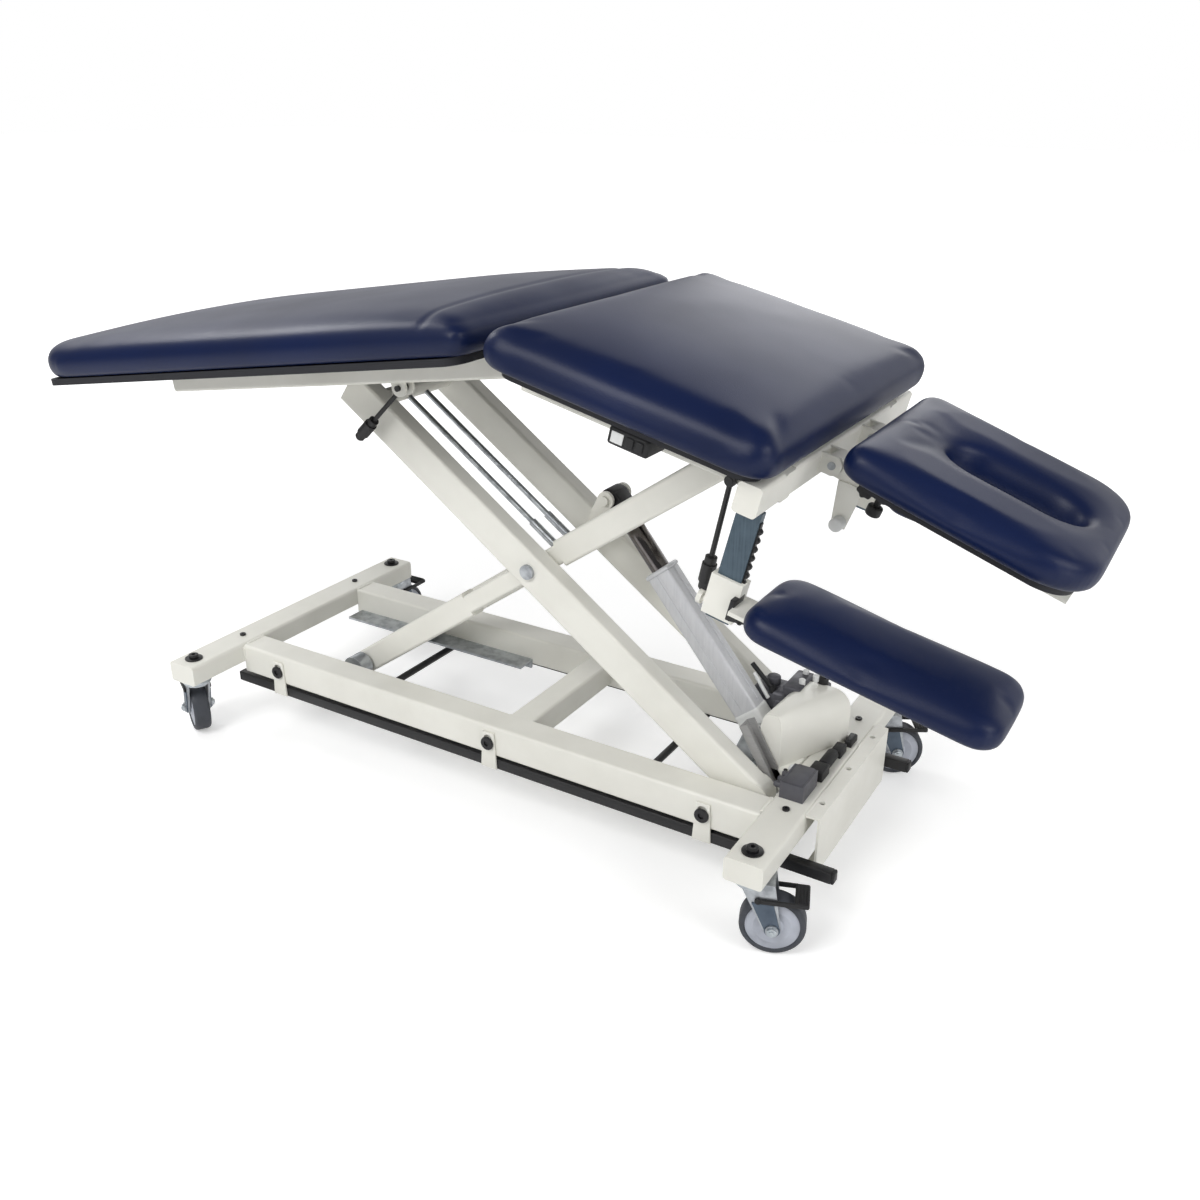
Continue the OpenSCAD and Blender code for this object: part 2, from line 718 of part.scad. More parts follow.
// Tie between the link arms, with the ears and pin stubs of the actuator rod's top eye
lug_x = 50;
lug_w = 30;
lug_in = act_w / 2 + ear_clear;
lug_r = 15;
module link_tie() {
    color(cream) on_link() {
        translate([lug_x, -link_in, -lug_w / 2]) cube([lug_w, 2 * link_in, lug_w]);
        both_sides() {
            y_bar([lug_x + lug_w / 2, 0], [act_pin_x, act_pin_z], lug_r, lug_in, lug_in + ear_t);
            translate([act_pin_x, 0, act_pin_z]) y_rod(act_pin_r, lug_in - 2 * slide_gap, lug_in + 2 * ear_t);
        }
    }
}

// Rollers with their pins, which turn in the link arms and run along the tracks
module rollers() {
    color(silver) both_sides() translate([roll[0], 0, roll[1]]) {
        y_rod(roller_r, roller_y0, roller_y0 + roller_w);
        y_rod(roller_pin_r, link_in, roller_y0 + roller_w + roller_pin_tip);
    }
}

// Actuator: the outer tube with its lower eye and pin, and the rod with its top eye
eye_r = 15;
eye_w = act_w;
tube_start = 30;
module on_actuator() {
    translate([act_x, 0, act_z]) rotate([0, -act_angle, 0]) children();
}
module actuator_tube() {
    tube_len = act_len - act_open - tube_start;
    color(silver) on_actuator() {
        difference() {
            translate([tube_start, 0, 0]) rotate([90, 0, 90]) linear_extrude(tube_len)
                round_rect(act_w, act_h, tube_r);
            translate([tube_start + 2 * tube_r, 0, 0]) rotate([0, 90, 0])
                cylinder(r = act_rod_r + run_gap, h = tube_len);
        }
        translate([0, -eye_w / 2, -eye_r]) cube([tube_start + cut, eye_w, 2 * eye_r]);
        y_rod(eye_r, -eye_w / 2, eye_w / 2);
        y_rod(act_pin_r, -ear_gap - ear_t - act_pin_r, ear_gap + ear_t + act_pin_r);
    }
}
rod_hidden = 125;
module actuator_rod() {
    color([0.25, 0.26, 0.28]) on_actuator() {
        translate([act_len - act_open - rod_hidden, 0, 0]) rotate([0, 90, 0])
            cylinder(r = act_rod_r, h = act_open + rod_hidden - eye_r);
        translate([act_len - 2 * eye_r, -eye_w / 2, -eye_r]) cube([2 * eye_r, eye_w, 2 * eye_r]);
        translate([act_len, 0, 0]) y_rod(eye_r, -eye_w / 2, eye_w / 2);
    }
}

// Crosshead: a block on the crosshead shaft with an arm down to the strut's lower pin
block_r = 24;
block_w = 42;
strut_x = -20;
strut_z = -75;
strut_r = 12;
strut_pin_r = 6;
strut_side_gap = 2;
fork_gap = strut_r + strut_side_gap;
strut_ear_t = 6;
module crosshead() {
    color(cream) translate([top[0], 0, top[1]]) difference() {
        union() {
            y_rod(block_r, -block_w, block_w);
            both_sides() y_bar([0, 0], [strut_x, strut_z], strut_r, fork_gap, fork_gap + strut_ear_t);
        }
        y_rod(shaft_r + run_gap, -block_w - cut, block_w + cut);
        translate([strut_x, 0, strut_z]) y_rod(strut_pin_r + run_gap, -block_w, block_w);
    }
}
lug_out = link_in + link_w + side_clear;
seat_lug_t = 8;
module crosshead_shaft() {
    y1 = lug_out + seat_lug_t;
    color(steel) translate([top[0], 0, top[1]]) {
        y_rod(shaft_r, -y1, y1);
        both_sides() y_rod(head_r + head_h / 2, y1 + slide_gap, y1 + head_h);
        both_sides() y_rod(shaft_r, y1 - cut, y1 + head_h);
    }
}

// Strut that raises the peak of the seat section, between the crosshead and the foot end crossbar
strut_foot = [top[0] + strut_x, top[1] + strut_z];
strut_head_out = 34;
strut_head_up = 16;
strut_head_u = foot_bar_u + strut_head_out;
strut_head_w = frame_low + strut_head_up;
strut_head = [top[0] + strut_head_u * cos(seat_tilt) + strut_head_w * sin(seat_tilt),
    top[1] - strut_head_u * sin(seat_tilt) + strut_head_w * cos(seat_tilt)];
strut_angle = atan2(strut_head[1] - strut_foot[1], strut_head[0] - strut_foot[0]);
strut_len = norm(strut_head - strut_foot);
strut_case = 175;
strut_rod_r = 6;
strut_eye_r = 9;
module on_strut() {
    translate([strut_foot[0], 0, strut_foot[1]]) rotate([0, -strut_angle, 0]) children();
}
module strut_cylinder() {
    color(black) on_strut() {
        difference() {
            union() {
                rotate([0, 90, 0]) cylinder(r = strut_r, h = strut_case);
                y_rod(strut_r, -strut_r, strut_r);
                y_rod(strut_pin_r, -fork_gap - strut_ear_t, fork_gap + strut_ear_t);
            }
            translate([3 * strut_r, 0, 0]) rotate([0, 90, 0])
                cylinder(r = strut_rod_r + run_gap, h = strut_case);
        }
    }
}
module strut_rod() {
    color(silver) on_strut() {
        translate([6 * strut_r, 0, 0]) rotate([0, 90, 0])
            cylinder(r = strut_rod_r, h = strut_len - 6 * strut_r);
        translate([strut_len, 0, 0]) y_rod(strut_eye_r, -strut_r, strut_r);
    }
}

// Seat frame: two rails along the seat section
seat_rail_y = 218;
seat_rail_foot = foot_bar_u - frame_w / 2;
seat_rail_head = post_u + frame_w / 2;
module seat_rails() {
    color(cream) on_seat() both_sides()
        translate([seat_rail_foot, seat_rail_y, frame_low + frame_h / 2])
            closed_tube(seat_rail_head - seat_rail_foot, frame_w, frame_h);
}

// Seat frame: the foot end crossbar with the knuckles of the peak hinge, the armrest crossbar
// with the lugs of the head hinge, and the plates that hang on the crosshead shaft
knuckle_r = 13;
knuckle_w = 24;
knuckle_y = 163;
peak_pin_r = 7;
head_pin_r = 6;
head_rail_w = 30;
head_rail_y = 85;
head_lug_t = 6;
bar_in = seat_rail_y - frame_w / 2;
module seat_bar(u, half) {
    translate([u, -half, frame_low + frame_h / 2]) rotate([0, 0, 90]) closed_tube(2 * half, frame_w, frame_h);
}
module seat_crossbars() {
    color(cream) on_seat() {
        seat_bar(foot_bar_u, bar_in);
        both_sides() {
            translate([strut_head_u, 0, strut_head_w]) y_rod(strut_r, fork_gap, fork_gap + strut_ear_t);
            translate([foot_bar_u + frame_w / 2 - cut, fork_gap, strut_head_w - strut_r + waist])
                cube([strut_head_u - foot_bar_u - frame_w / 2 + cut, strut_ear_t, 2 * (strut_r - waist)]);
            translate([post_u, seat_rail_y + frame_w / 2, frame_low + frame_h / 2]) rotate([0, 0, 90])
                closed_tube(post_y + post_t - seat_rail_y, frame_w, frame_h);
            difference() {
                union() {
                    y_bar([peak_u, hinge_w], [foot_bar_u, hinge_w], knuckle_r,
                        knuckle_y + knuckle_w / 2 + slide_gap, knuckle_y + knuckle_w);
                    y_bar([peak_u, hinge_w], [foot_bar_u, hinge_w], knuckle_r,
                        knuckle_y - knuckle_w, knuckle_y - knuckle_w / 2 - slide_gap);
                }
                translate([peak_u, 0, hinge_w]) y_rod(peak_pin_r + run_gap, 0, 2 * knuckle_y);
            }
            for (y = [head_rail_y - head_rail_w / 2 - head_lug_t - slide_gap,
                head_rail_y + head_rail_w / 2 + slide_gap]) difference() {
                y_bar([post_u, head_hinge_w], [head_hinge_u, head_hinge_w], head_rail_w / 2,
                    y, y + head_lug_t);
                translate([head_hinge_u, 0, head_hinge_w])
                    y_rod(head_pin_r + run_gap, y - cut, y + 2 * head_lug_t);
            }
            difference() {
                y_bar([0, 0], [0, frame_top - block_r - cut], block_r, lug_out, lug_out + seat_lug_t);
                y_rod(shaft_r + run_gap, lug_out - cut, lug_out + 2 * seat_lug_t);
            }
            translate([-block_r - cut, lug_out, frame_low + frame_h / 2])
                cube([2 * (block_r + cut), bar_in - lug_out, frame_h / 2]);
        }
        seat_bar(post_u, bar_in);
    }
}

// Boards under the cushions
board_in = 24;
board_corner = 30;
module seat_board() {
    color(wood) on_seat() translate([0, 0, frame_top])
        board(seat_foot_end + board_in, seat_head_end - board_in, top_w / 2 - board_in,
            board_corner, board_t);
}

// Cushions: the seat
seat_corner = 46;
seat_crown = 12;
module seat_cushion() {
    color(navy) on_seat() translate([0, 0, cushion_low])
        padded(seat_foot_end, seat_head_end, top_w / 2, seat_corner, seat_corner, cushion_t, seat_crown);
}

// Hand switch box under the near edge of the seat
switch_size = [64, 54, 26];
switch_u = -120;
module hand_switch() {
    color(black) on_seat()
        translate([switch_u, -top_w / 2 + board_in, frame_top - switch_size[2]]) cube(switch_size);
}

// Pins of the peak hinge and of the head hinge
module hinge_pins() {
    color(steel) on_seat() both_sides() {
        translate([peak_u, 0, hinge_w]) y_rod(peak_pin_r, knuckle_y - knuckle_w, knuckle_y + knuckle_w);
        translate([head_hinge_u, 0, head_hinge_w]) y_rod(head_pin_r,
            head_rail_y - head_rail_w / 2 - head_lug_t - slide_gap - cut,
            head_rail_y + head_rail_w / 2 + head_lug_t + slide_gap + cut);
    }
}

// Leg frame: two rails, each with a knuckle on the peak hinge's pin and the lever's bracket
leg_rail_y = knuckle_y;
leg_rail_head = -40;
leg_rail_foot = -830;
leg_low = frame_low - hinge_w;
leg_top = leg_low + frame_h;
lever_u = -274;
lever_drop = 9;
lever_w = leg_low - lever_drop;
lever_t = 5;
lever_gap = 7;
lever_pin_r = 5;
module leg_rails() {
    color(cream) on_leg() {
        both_sides() {
            translate([leg_rail_foot, leg_rail_y, leg_low + frame_h / 2])
                closed_tube(leg_rail_head - leg_rail_foot, frame_w, frame_h);
            difference() {
                y_bar([0, 0], [leg_rail_head - knuckle_r, 0], knuckle_r - cut, knuckle_y - knuckle_w / 2,
                    knuckle_y + knuckle_w / 2);
                y_rod(peak_pin_r + run_gap, 0, 2 * knuckle_y);
            }
        }
        for (s = [-1, 1]) difference() {
            y0 = -leg_rail_y + s * lever_gap - (s < 0 ? lever_t : 0);
            y_bar([lever_u, leg_low], [lever_u, lever_w], 3 * lever_pin_r, y0, y0 + lever_t);
            translate([lever_u, 0, lever_w]) y_rod(lever_pin_r + run_gap, y0 - cut, y0 + lever_t + cut);
            translate([lever_u - frame_w, -leg_rail_y - frame_w / 2, leg_low + slide_gap])
                cube([2 * frame_w, frame_w, frame_h]);
        }
    }
}

// Leg frame: crossbars between the rails, clear of the main arms' top ends
leg_bar_places = [40, 190, 764];
leg_bar_h = 24;
module leg_crossbars() {
    half = leg_rail_y - frame_w / 2;
    color(cream) on_leg() for (u = leg_bar_places)
        translate([leg_rail_foot + u, -half, leg_top - leg_bar_h / 2]) rotate([0, 0, 90])
            closed_tube(2 * half, frame_w, leg_bar_h);
}

module leg_board() {
    color(wood) on_leg() translate([0, 0, leg_top])
        board(-section_gap - leg_len + 2 * board_in, -section_gap - board_in, top_w / 2 - board_in,
            board_corner, board_t);
}

// Cushions: the leg section, with large corners at its foot end
leg_w = 656;
leg_foot_corner = 130;
leg_head_corner = 34;
leg_crown = 24;
module leg_cushion() {
    color(navy) on_leg() translate([0, 0, leg_top + board_t])
        padded(-section_gap - leg_len, -section_gap, leg_w / 2, leg_foot_corner, leg_head_corner, cushion_t,
            leg_crown);
}

// A lever that hangs from a pin: rod and grip
lever_rod_r = 4;
grip_r = 11;
grip_len = 50;
grip_end_share = 0.8;
lever_eye_share = 1.7;
module lever(len, angle, pin_half) {
    y_rod(lever_pin_r, -pin_half, pin_half);
    y_rod(lever_eye_share * lever_pin_r, -lever_rod_r, lever_rod_r);
    rotate([0, angle, 0]) {
        translate([0, 0, -len]) cylinder(r = lever_rod_r, h = len);
        translate([0, 0, -len]) cylinder(r = grip_r * grip_end_share, h = grip_len);
        translate([0, 0, -len + grip_r]) cylinder(r = grip_r, h = grip_len - 2 * grip_r);
        translate([0, 0, -len + grip_r / 4]) sphere(grip_r * grip_end_share);
    }
}

// Release lever of the leg section, under the near leg rail
leg_lever_len = 146;
leg_lever_angle = 55;
module leg_lever() {
    color(black) on_leg() translate([lever_u, -leg_rail_y, lever_w])
        lever(leg_lever_len, leg_lever_angle, lever_gap + lever_t + lever_pin_r);
}

// Release lever of the head section, on the near seat rail
head_lever_len = 168;
head_lever_angle = -2;
head_lever_u = 42;
head_lever_out = 10;
head_lever_y = -seat_rail_y - frame_w / 2 - head_lever_out;
head_lever_up = 8;
head_lever_w = frame_low + head_lever_up;
module head_lever() {
    color(black) on_seat() translate([head_lever_u, head_lever_y, head_lever_w]) {
        lever(head_lever_len, head_lever_angle, lever_pin_r);
        y_rod(lever_pin_r, 0, -head_lever_y - seat_rail_y - frame_w / 2 - slide_gap);
    }
}

// Head frame: two beams, each on its own hinge pin
head_beam_len = 350;
module head_rails() {
    color(cream) on_head() both_sides() difference() {
        union() {
            translate([head_rail_w / 2, head_rail_y, 0]) open_tube(head_beam_len, head_rail_w, head_rail_w);
            translate([0, head_rail_y, 0]) y_rod(head_rail_w / 2, -head_rail_w / 2, head_rail_w / 2);
            translate([0, head_rail_y - head_rail_w / 2, -head_rail_w / 2])
                cube([head_rail_w, head_rail_w, head_rail_w]);
        }
        y_rod(head_pin_r + run_gap, 0, 2 * head_rail_y);
    }
}

// Head board and cushion, with the face slot through both
head_x0 = 26;
head_x1 = head_x0 + head_len;
head_board_t = 10;
head_inner_corner = 40;
head_outer_corner = 88;
slot_start = 98;
slot_x0 = head_x0 + slot_start;
slot_x1 = slot_x0 + slot_len;
head_board_in = 16;
module head_board() {
    color(wood) on_head() translate([0, 0, head_rail_w / 2]) difference() {
        board(head_x0 + head_board_in, head_x1 - head_board_in, head_w / 2 - head_board_in,
            head_outer_corner - 2 * head_board_in, head_board_t);
        translate([0, 0, -cut]) board(slot_x0, slot_x1, slot_w / 2, slot_w / 2 - cut, head_board_t + 2 * cut);
    }
}
module head_cushion() {
    color(navy) on_head() translate([0, 0, head_rail_w / 2 + head_board_t])
        padded_slot(head_x0, head_x1, head_w / 2, head_inner_corner, head_outer_corner, head_t,
            slot_x0, slot_x1, slot_w / 2);
}

// Clamping knob on the near head beam
knob_r = 13;
knob_h = 14;
knob_u = 62;
module head_knob() {
    color(black) on_head() translate([knob_u, -head_rail_y - head_rail_w / 2 - slide_gap, 0])
        rotate([90, 0, 0]) {
        cylinder(r = knob_r / 2, h = knob_h);
        translate([0, 0, knob_h / 2]) cylinder(r = knob_r, h = knob_h);
    }
}

// Armrest posts, which hang from the ends of the armrest crossbar
module arm_posts() {
    color(post_blue) on_seat() both_sides()
        translate([post_u - post_w / 2, post_y - post_t / 2, -post_len])
            cube([post_w, post_t, post_len + frame_low]);
}

// Armrest sleeve on the side s: it slides on the post and carries the cushion's arm
sleeve_t = 6;
sleeve_h = 62;
sleeve_up = 6;
sleeve_low = -post_len + sleeve_up;
arm_plate_w = 60;
arm_plate_t = 6;
pad_foot = 152;
pad_low = -132;
pad_y = 294;
knob_stem_r = 5;
module arm_sleeve(s) {
    w = post_w + 2 * (sleeve_t + slide_gap);
    t = post_t + 2 * (sleeve_t + slide_gap);
    color(cream) on_seat() {
        translate([post_u, s * post_y, 0]) difference() {
            translate([-w / 2, -t / 2, sleeve_low]) cube([w, t, sleeve_h]);
            translate([-post_w / 2 - slide_gap, -post_t / 2 - slide_gap, sleeve_low - cut])
                cube([post_w + 2 * slide_gap, post_t + 2 * slide_gap, sleeve_h + 2 * cut]);
        }
        translate([post_u + w / 2 - cut, s * pad_y - arm_plate_w / 2, pad_low - arm_plate_t])
            cube([pad_foot + pad_len / 2 - post_u - w / 2, arm_plate_w, arm_plate_t]);
        translate([post_u + w / 2 - cut, s * post_y - t / 2, pad_low - 4 * arm_plate_t])
            cube([arm_plate_t, t, 4 * arm_plate_t]);
        translate([post_u - w / 2, s * post_y, sleeve_low + knob_r]) rotate([0, -90, 0]) {
            cylinder(r = knob_stem_r, h = knob_h);
            translate([0, 0, knob_h / 2]) cylinder(r = 2 * knob_stem_r, h = knob_h / 2);
        }
    }
}
module near_sleeve() { arm_sleeve(-1); }
module far_sleeve() { arm_sleeve(1); }

// Armrest cushion on the side s
pad_corner = 42;
pad_crown = 6;
module arm_pad(s) {
    color(navy) on_seat() translate([0, s * pad_y, pad_low])
        padded(pad_foot, pad_foot + pad_len, pad_w / 2, pad_corner, pad_corner, pad_t, pad_crown);
}
module near_pad() { arm_pad(-1); }
module far_pad() { arm_pad(1); }

side_rails();
foot_beam();
head_beam();
middle_tie();
head_channel();
roller_tracks();
pivot_pins();
frame_bolts();
motor_cover();
control_box();
actuator_mount();
foot_bar();
castor_fork(0);  // castor_fork_1
castor_fork(1);  // castor_fork_2
castor_fork(2);  // castor_fork_3
castor_fork(3);  // castor_fork_4
castor_wheel(0);  // castor_wheel_1
castor_wheel(1);  // castor_wheel_2
castor_wheel(2);  // castor_wheel_3
castor_wheel(3);  // castor_wheel_4
brake_pedal(0);  // brake_pedal_1
brake_pedal(1);  // brake_pedal_2
brake_pedal(2);  // brake_pedal_3
brake_pedal(3);  // brake_pedal_4
near_arm();
far_arm();
arm_tie();
mid_shaft();
stay_rods();
near_link();
far_link();
link_tie();
rollers();
actuator_tube();
actuator_rod();
crosshead();
crosshead_shaft();
strut_cylinder();
strut_rod();
seat_rails();
seat_crossbars();
seat_board();
seat_cushion();
hand_switch();
hinge_pins();
leg_rails();
leg_crossbars();
leg_board();
leg_cushion();
leg_lever();
head_rails();
head_board();
head_cushion();
head_knob();
near_sleeve();
far_sleeve();
near_pad();
far_pad();
head_lever();
arm_posts();
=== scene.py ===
# A chiropractic table on a crossed-arm lift: a padded leg section and seat that meet in a raised
# peak, a face section with a slot, and two armrests. Metres; X to the head end, Y to the far side.
import bpy
import bmesh
from math import atan2, cos, exp, hypot, pi, radians
from mathutils import Matrix, Vector


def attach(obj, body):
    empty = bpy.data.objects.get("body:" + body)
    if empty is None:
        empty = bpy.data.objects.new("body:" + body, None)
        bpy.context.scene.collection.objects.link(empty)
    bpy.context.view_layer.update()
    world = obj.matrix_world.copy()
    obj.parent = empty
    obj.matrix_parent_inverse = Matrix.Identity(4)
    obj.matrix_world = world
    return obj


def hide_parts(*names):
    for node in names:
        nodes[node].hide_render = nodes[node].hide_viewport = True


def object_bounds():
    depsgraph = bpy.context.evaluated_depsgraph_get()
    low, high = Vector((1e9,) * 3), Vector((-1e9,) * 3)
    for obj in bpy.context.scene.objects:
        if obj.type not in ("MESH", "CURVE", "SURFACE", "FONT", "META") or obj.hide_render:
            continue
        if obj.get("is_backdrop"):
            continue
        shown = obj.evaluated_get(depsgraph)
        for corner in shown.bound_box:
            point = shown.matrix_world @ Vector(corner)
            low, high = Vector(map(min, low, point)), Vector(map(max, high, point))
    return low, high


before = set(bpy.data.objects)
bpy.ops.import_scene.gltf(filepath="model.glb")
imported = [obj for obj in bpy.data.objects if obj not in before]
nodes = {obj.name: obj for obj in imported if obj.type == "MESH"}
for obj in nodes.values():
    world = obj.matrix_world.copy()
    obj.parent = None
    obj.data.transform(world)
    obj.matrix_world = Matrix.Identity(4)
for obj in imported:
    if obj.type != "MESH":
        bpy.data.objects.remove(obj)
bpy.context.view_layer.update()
bpy.ops.object.select_all(action="DESELECT")


# Base frame: two box rails, two cross beams with outriggers, a middle tie and a deep channel
# across the head end. Folded and welded steel under an off-white powder coat.
def linear(r, g, b):
    """A colour written in screen values from 0 to 255."""
    shares = (v / 255 for v in (r, g, b))
    return tuple(s / 12.92 if s < 0.04045 else ((s + 0.055) / 1.055) ** 2.4 for s in shares) + (1,)


def new_group(name, **numbers):
    """An empty node group: a colour, its shade and the named numbers go in, a finish comes out."""
    tree = bpy.data.node_groups.new(name, "ShaderNodeTree")
    sockets = [("Colour", "Color", (1, 1, 1, 1)), ("Shade", "Color", (0.5, 0.5, 0.5, 1))]
    sockets += [(k, "Vector" if type(v) is tuple else "Float", v) for k, v in numbers.items()]
    for label, kind, value in sockets:
        s = tree.interface.new_socket(label, in_out="INPUT", socket_type="NodeSocket" + kind)
        s.default_value = value
    for label, kind in (("Color", "Color"), ("Roughness", "Float"), ("Normal", "Vector")):
        tree.interface.new_socket(label, in_out="OUTPUT", socket_type="NodeSocket" + kind)
    return tree, tree.nodes.new("NodeGroupInput").outputs, tree.nodes.new("NodeGroupOutput").inputs


def add_node(tree, kind, feeds=None, **settings):
    """A node of that kind. Feeds are the sockets linked to its inputs; a setting that is no property
    of the node sets the input of that name, in which _ stands for a blank."""
    n = tree.nodes.new("ShaderNode" + kind)
    for k, v in settings.items():
        if hasattr(n, k):
            setattr(n, k, v)
        else:
            n.inputs[k.replace("_", " ")].default_value = v
    for k, socket in (feeds or {}).items():
        tree.links.new(socket, n.inputs[k])
    return n


def shaded(tree, given, out, mask):
    """Draws the group's colour towards its shade by a mask, and changes the roughness with it."""
    share = add_node(tree, "Math", {0: mask, 1: given["Amount"]}, operation="MULTIPLY")
    mix = add_node(tree, "Mix", {"Factor": share.outputs[0], 6: given["Colour"], 7: given["Shade"]},
                   data_type="RGBA")
    tree.links.new(mix.outputs[2], out["Color"])
    rough = add_node(tree, "Math", {0: mask, 1: given["Spread"], 2: given["Rough"]}, operation="MULTIPLY_ADD")
    tree.links.new(rough.outputs[0], out["Roughness"])


def raised(tree, out, feeds, **settings):
    """Gives the group the normal of a bump."""
    bump = add_node(tree, "Bump", feeds, **settings)
    tree.links.new(bump.outputs["Normal"], out["Normal"])


def sprayed_coat():
    """Powder coat: faint clouds of shade, and the fine ripple of a sprayed skin."""
    tree, given, out = new_group("sprayed_coat", Cloud=6.0, Amount=0.3, Ripple=900.0, Depth=0.05,
                                 Rough=0.4, Spread=0.1)
    place = add_node(tree, "TexCoord").outputs["Object"]
    cloud = add_node(tree, "TexNoise", {"Vector": place, "Scale": given["Cloud"]}, Detail=4.0, Roughness=0.6)
    mask = add_node(tree, "MapRange", {"Value": cloud.outputs["Fac"]}, From_Min=0.42, From_Max=0.72)
    shaded(tree, given, out, mask.outputs["Result"])
    ripple = add_node(tree, "TexNoise", {"Vector": place, "Scale": given["Ripple"]}, Detail=2.0)
    raised(tree, out, {"Height": ripple.outputs["Fac"], "Strength": given["Depth"]}, Distance=0.001)
    return tree


def finish_of(name, group, colour, shade, metallic=0.0, specular=0.5, **values):
    """A material whose colour, roughness and normal come from a group, under the group's values."""
    m = bpy.data.materials.new(name)
    m.use_nodes = True
    tree = m.node_tree
    shader = tree.nodes["Principled BSDF"]
    shader.inputs["Metallic"].default_value = metallic
    shader.inputs["Specular IOR Level"].default_value = specular
    made = add_node(tree, "Group", node_tree=group, Colour=linear(*colour), Shade=linear(*shade), **values)
    for given, taken in (("Color", "Base Color"), ("Roughness", "Roughness"), ("Normal", "Normal")):
        tree.links.new(made.outputs[given], shader.inputs[taken])
    return m


def coat_nodes(material, *names):
    """Gives CAD nodes their finish."""
    for n in names:
        nodes[n].data.materials.clear()
        nodes[n].data.materials.append(material)


coat_group = sprayed_coat()
cream_coat = finish_of("cream_powder_coat", coat_group, (233, 232, 224), (206, 204, 194), Cloud=5.0,
                       Amount=0.35, Ripple=700.0, Depth=0.12, Rough=0.34, Spread=0.12, specular=0.45)
coat_nodes(cream_coat, "side_rails", "foot_beam", "head_beam", "middle_tie", "head_channel", "near_arm",
           "far_arm", "arm_tie", "near_link", "far_link", "link_tie", "crosshead", "seat_rails",
           "seat_crossbars", "leg_rails", "leg_crossbars", "head_rails", "near_sleeve", "far_sleeve")


def brushed():
    """Bare or plated metal: fine streaks along X, darker clouds and small specks."""
    tree, given, out = new_group("brushed", Cloud=30.0, Amount=0.4, Streak=(20, 900, 900), Depth=0.05,
                                 Rough=0.3, Spread=0.2)
    place = add_node(tree, "TexCoord").outputs["Object"]
    cloud = add_node(tree, "TexNoise", {"Vector": place, "Scale": given["Cloud"]}, Detail=5.0, Roughness=0.65)
    stretch = add_node(tree, "VectorMath", {0: place, 1: given["Streak"]}, operation="MULTIPLY")
    streak = add_node(tree, "TexNoise", {"Vector": stretch.outputs[0]}, Scale=1.0, Detail=3.0)
    both = add_node(tree, "Math", {0: cloud.outputs["Fac"], 1: streak.outputs["Fac"]}, operation="MULTIPLY")
    mask = add_node(tree, "MapRange", {"Value": both.outputs[0]}, From_Min=0.12, From_Max=0.42)
    shaded(tree, given, out, mask.outputs["Result"])
    raised(tree, out, {"Height": streak.outputs["Fac"], "Strength": given["Depth"]}, Distance=0.001)
    return tree


metal_group = brushed()
zinc = finish_of("zinc_plate", metal_group, (196, 200, 204), (140, 144, 150), Cloud=60.0, Amount=0.6,
                 Streak=(60, 60, 60), Depth=0.05, Rough=0.3, Spread=0.25, metallic=0.85)
coat_nodes(zinc, "roller_tracks", "pivot_pins", "actuator_mount", "mid_shaft", "crosshead_shaft",
           "hinge_pins", "rollers", "stay_rods", "strut_rod")
black_coat = finish_of("black_powder_coat", coat_group, (26, 26, 28), (44, 43, 44), Cloud=9.0, Amount=0.5,
                       Ripple=800.0, Depth=0.12, Rough=0.36, Spread=0.2)
coat_nodes(black_coat, "foot_bar", "frame_bolts")


# Cushions: foam on plywood boards under navy vinyl, whose sides swell over a tucked welt.
# The tops are crowned, and the skin is drawn tighter at the corners.
def clear():
    bpy.ops.object.select_all(action="DESELECT")


def started(name):
    """The primitive just added, under its own name."""
    o = bpy.context.object
    o.name = name
    o.data.name = name
    return o


def pick(o):
    """Leaves that object alone active and selected."""
    clear()
    bpy.context.view_layer.objects.active = o
    o.select_set(True)


def set_in_mesh(o):
    """Moves an object's place, turn and size into its mesh."""
    pick(o)
    bpy.ops.object.transform_apply(location=True, rotation=True, scale=True)


def edit(o, kind):
    """Enters edit mode with nothing chosen, and gives the mesh."""
    pick(o)
    bpy.ops.object.mode_set(mode="EDIT")
    bpy.ops.mesh.select_mode(type=kind)
    bpy.ops.mesh.select_all(action="DESELECT")
    return bmesh.from_edit_mesh(o.data)


def choose(o, test):
    """Enters edit mode with the faces chosen whose middle and normal pass the test."""
    bm = edit(o, "FACE")
    for f in bm.faces:
        f.select_set(bool(test(f.calc_center_median(), f.normal)))
    bmesh.update_edit_mesh(o.data)


def choose_points(o, test):
    """Enters edit mode with the points chosen whose place passes the test."""
    bm = edit(o, "VERT")
    for v in bm.verts:
        v.select_set(bool(test(v.co)))
    bmesh.update_edit_mesh(o.data)


def done():
    bpy.ops.object.mode_set(mode="OBJECT")


def modify(o, kind, **settings):
    """Adds a modifier and applies it."""
    pick(o)
    m = o.modifiers.new(kind.lower(), kind)
    for k, v in settings.items():
        setattr(m, k, v)
    bpy.ops.object.modifier_apply(modifier=m.name)


def settle(o, material, body, place=None, smooth=35):
    """Moves a piece from its section's frame to the table's, and gives it its finish and its body."""
    if place is not None:
        o.matrix_world = place @ o.matrix_world
    set_in_mesh(o)
    if smooth:
        bpy.ops.object.shade_smooth_by_angle(angle=radians(smooth))
    if material is not None:
        o.data.materials.clear()
        o.data.materials.append(material)
    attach(o, body)
    return o


def turned(x, z, degrees):
    """The frame of a section: its origin in the XZ plane and its turn about Y."""
    return Matrix.Translation((x, 0, z)) @ Matrix.Rotation(radians(degrees), 4, "Y")


on_seat = turned(0.4639411, 0.7171712, 13.2)
on_leg = turned(0.1314754, 0.8192881, -9)
on_head = turned(0.5983304, 0.7164646, 20)


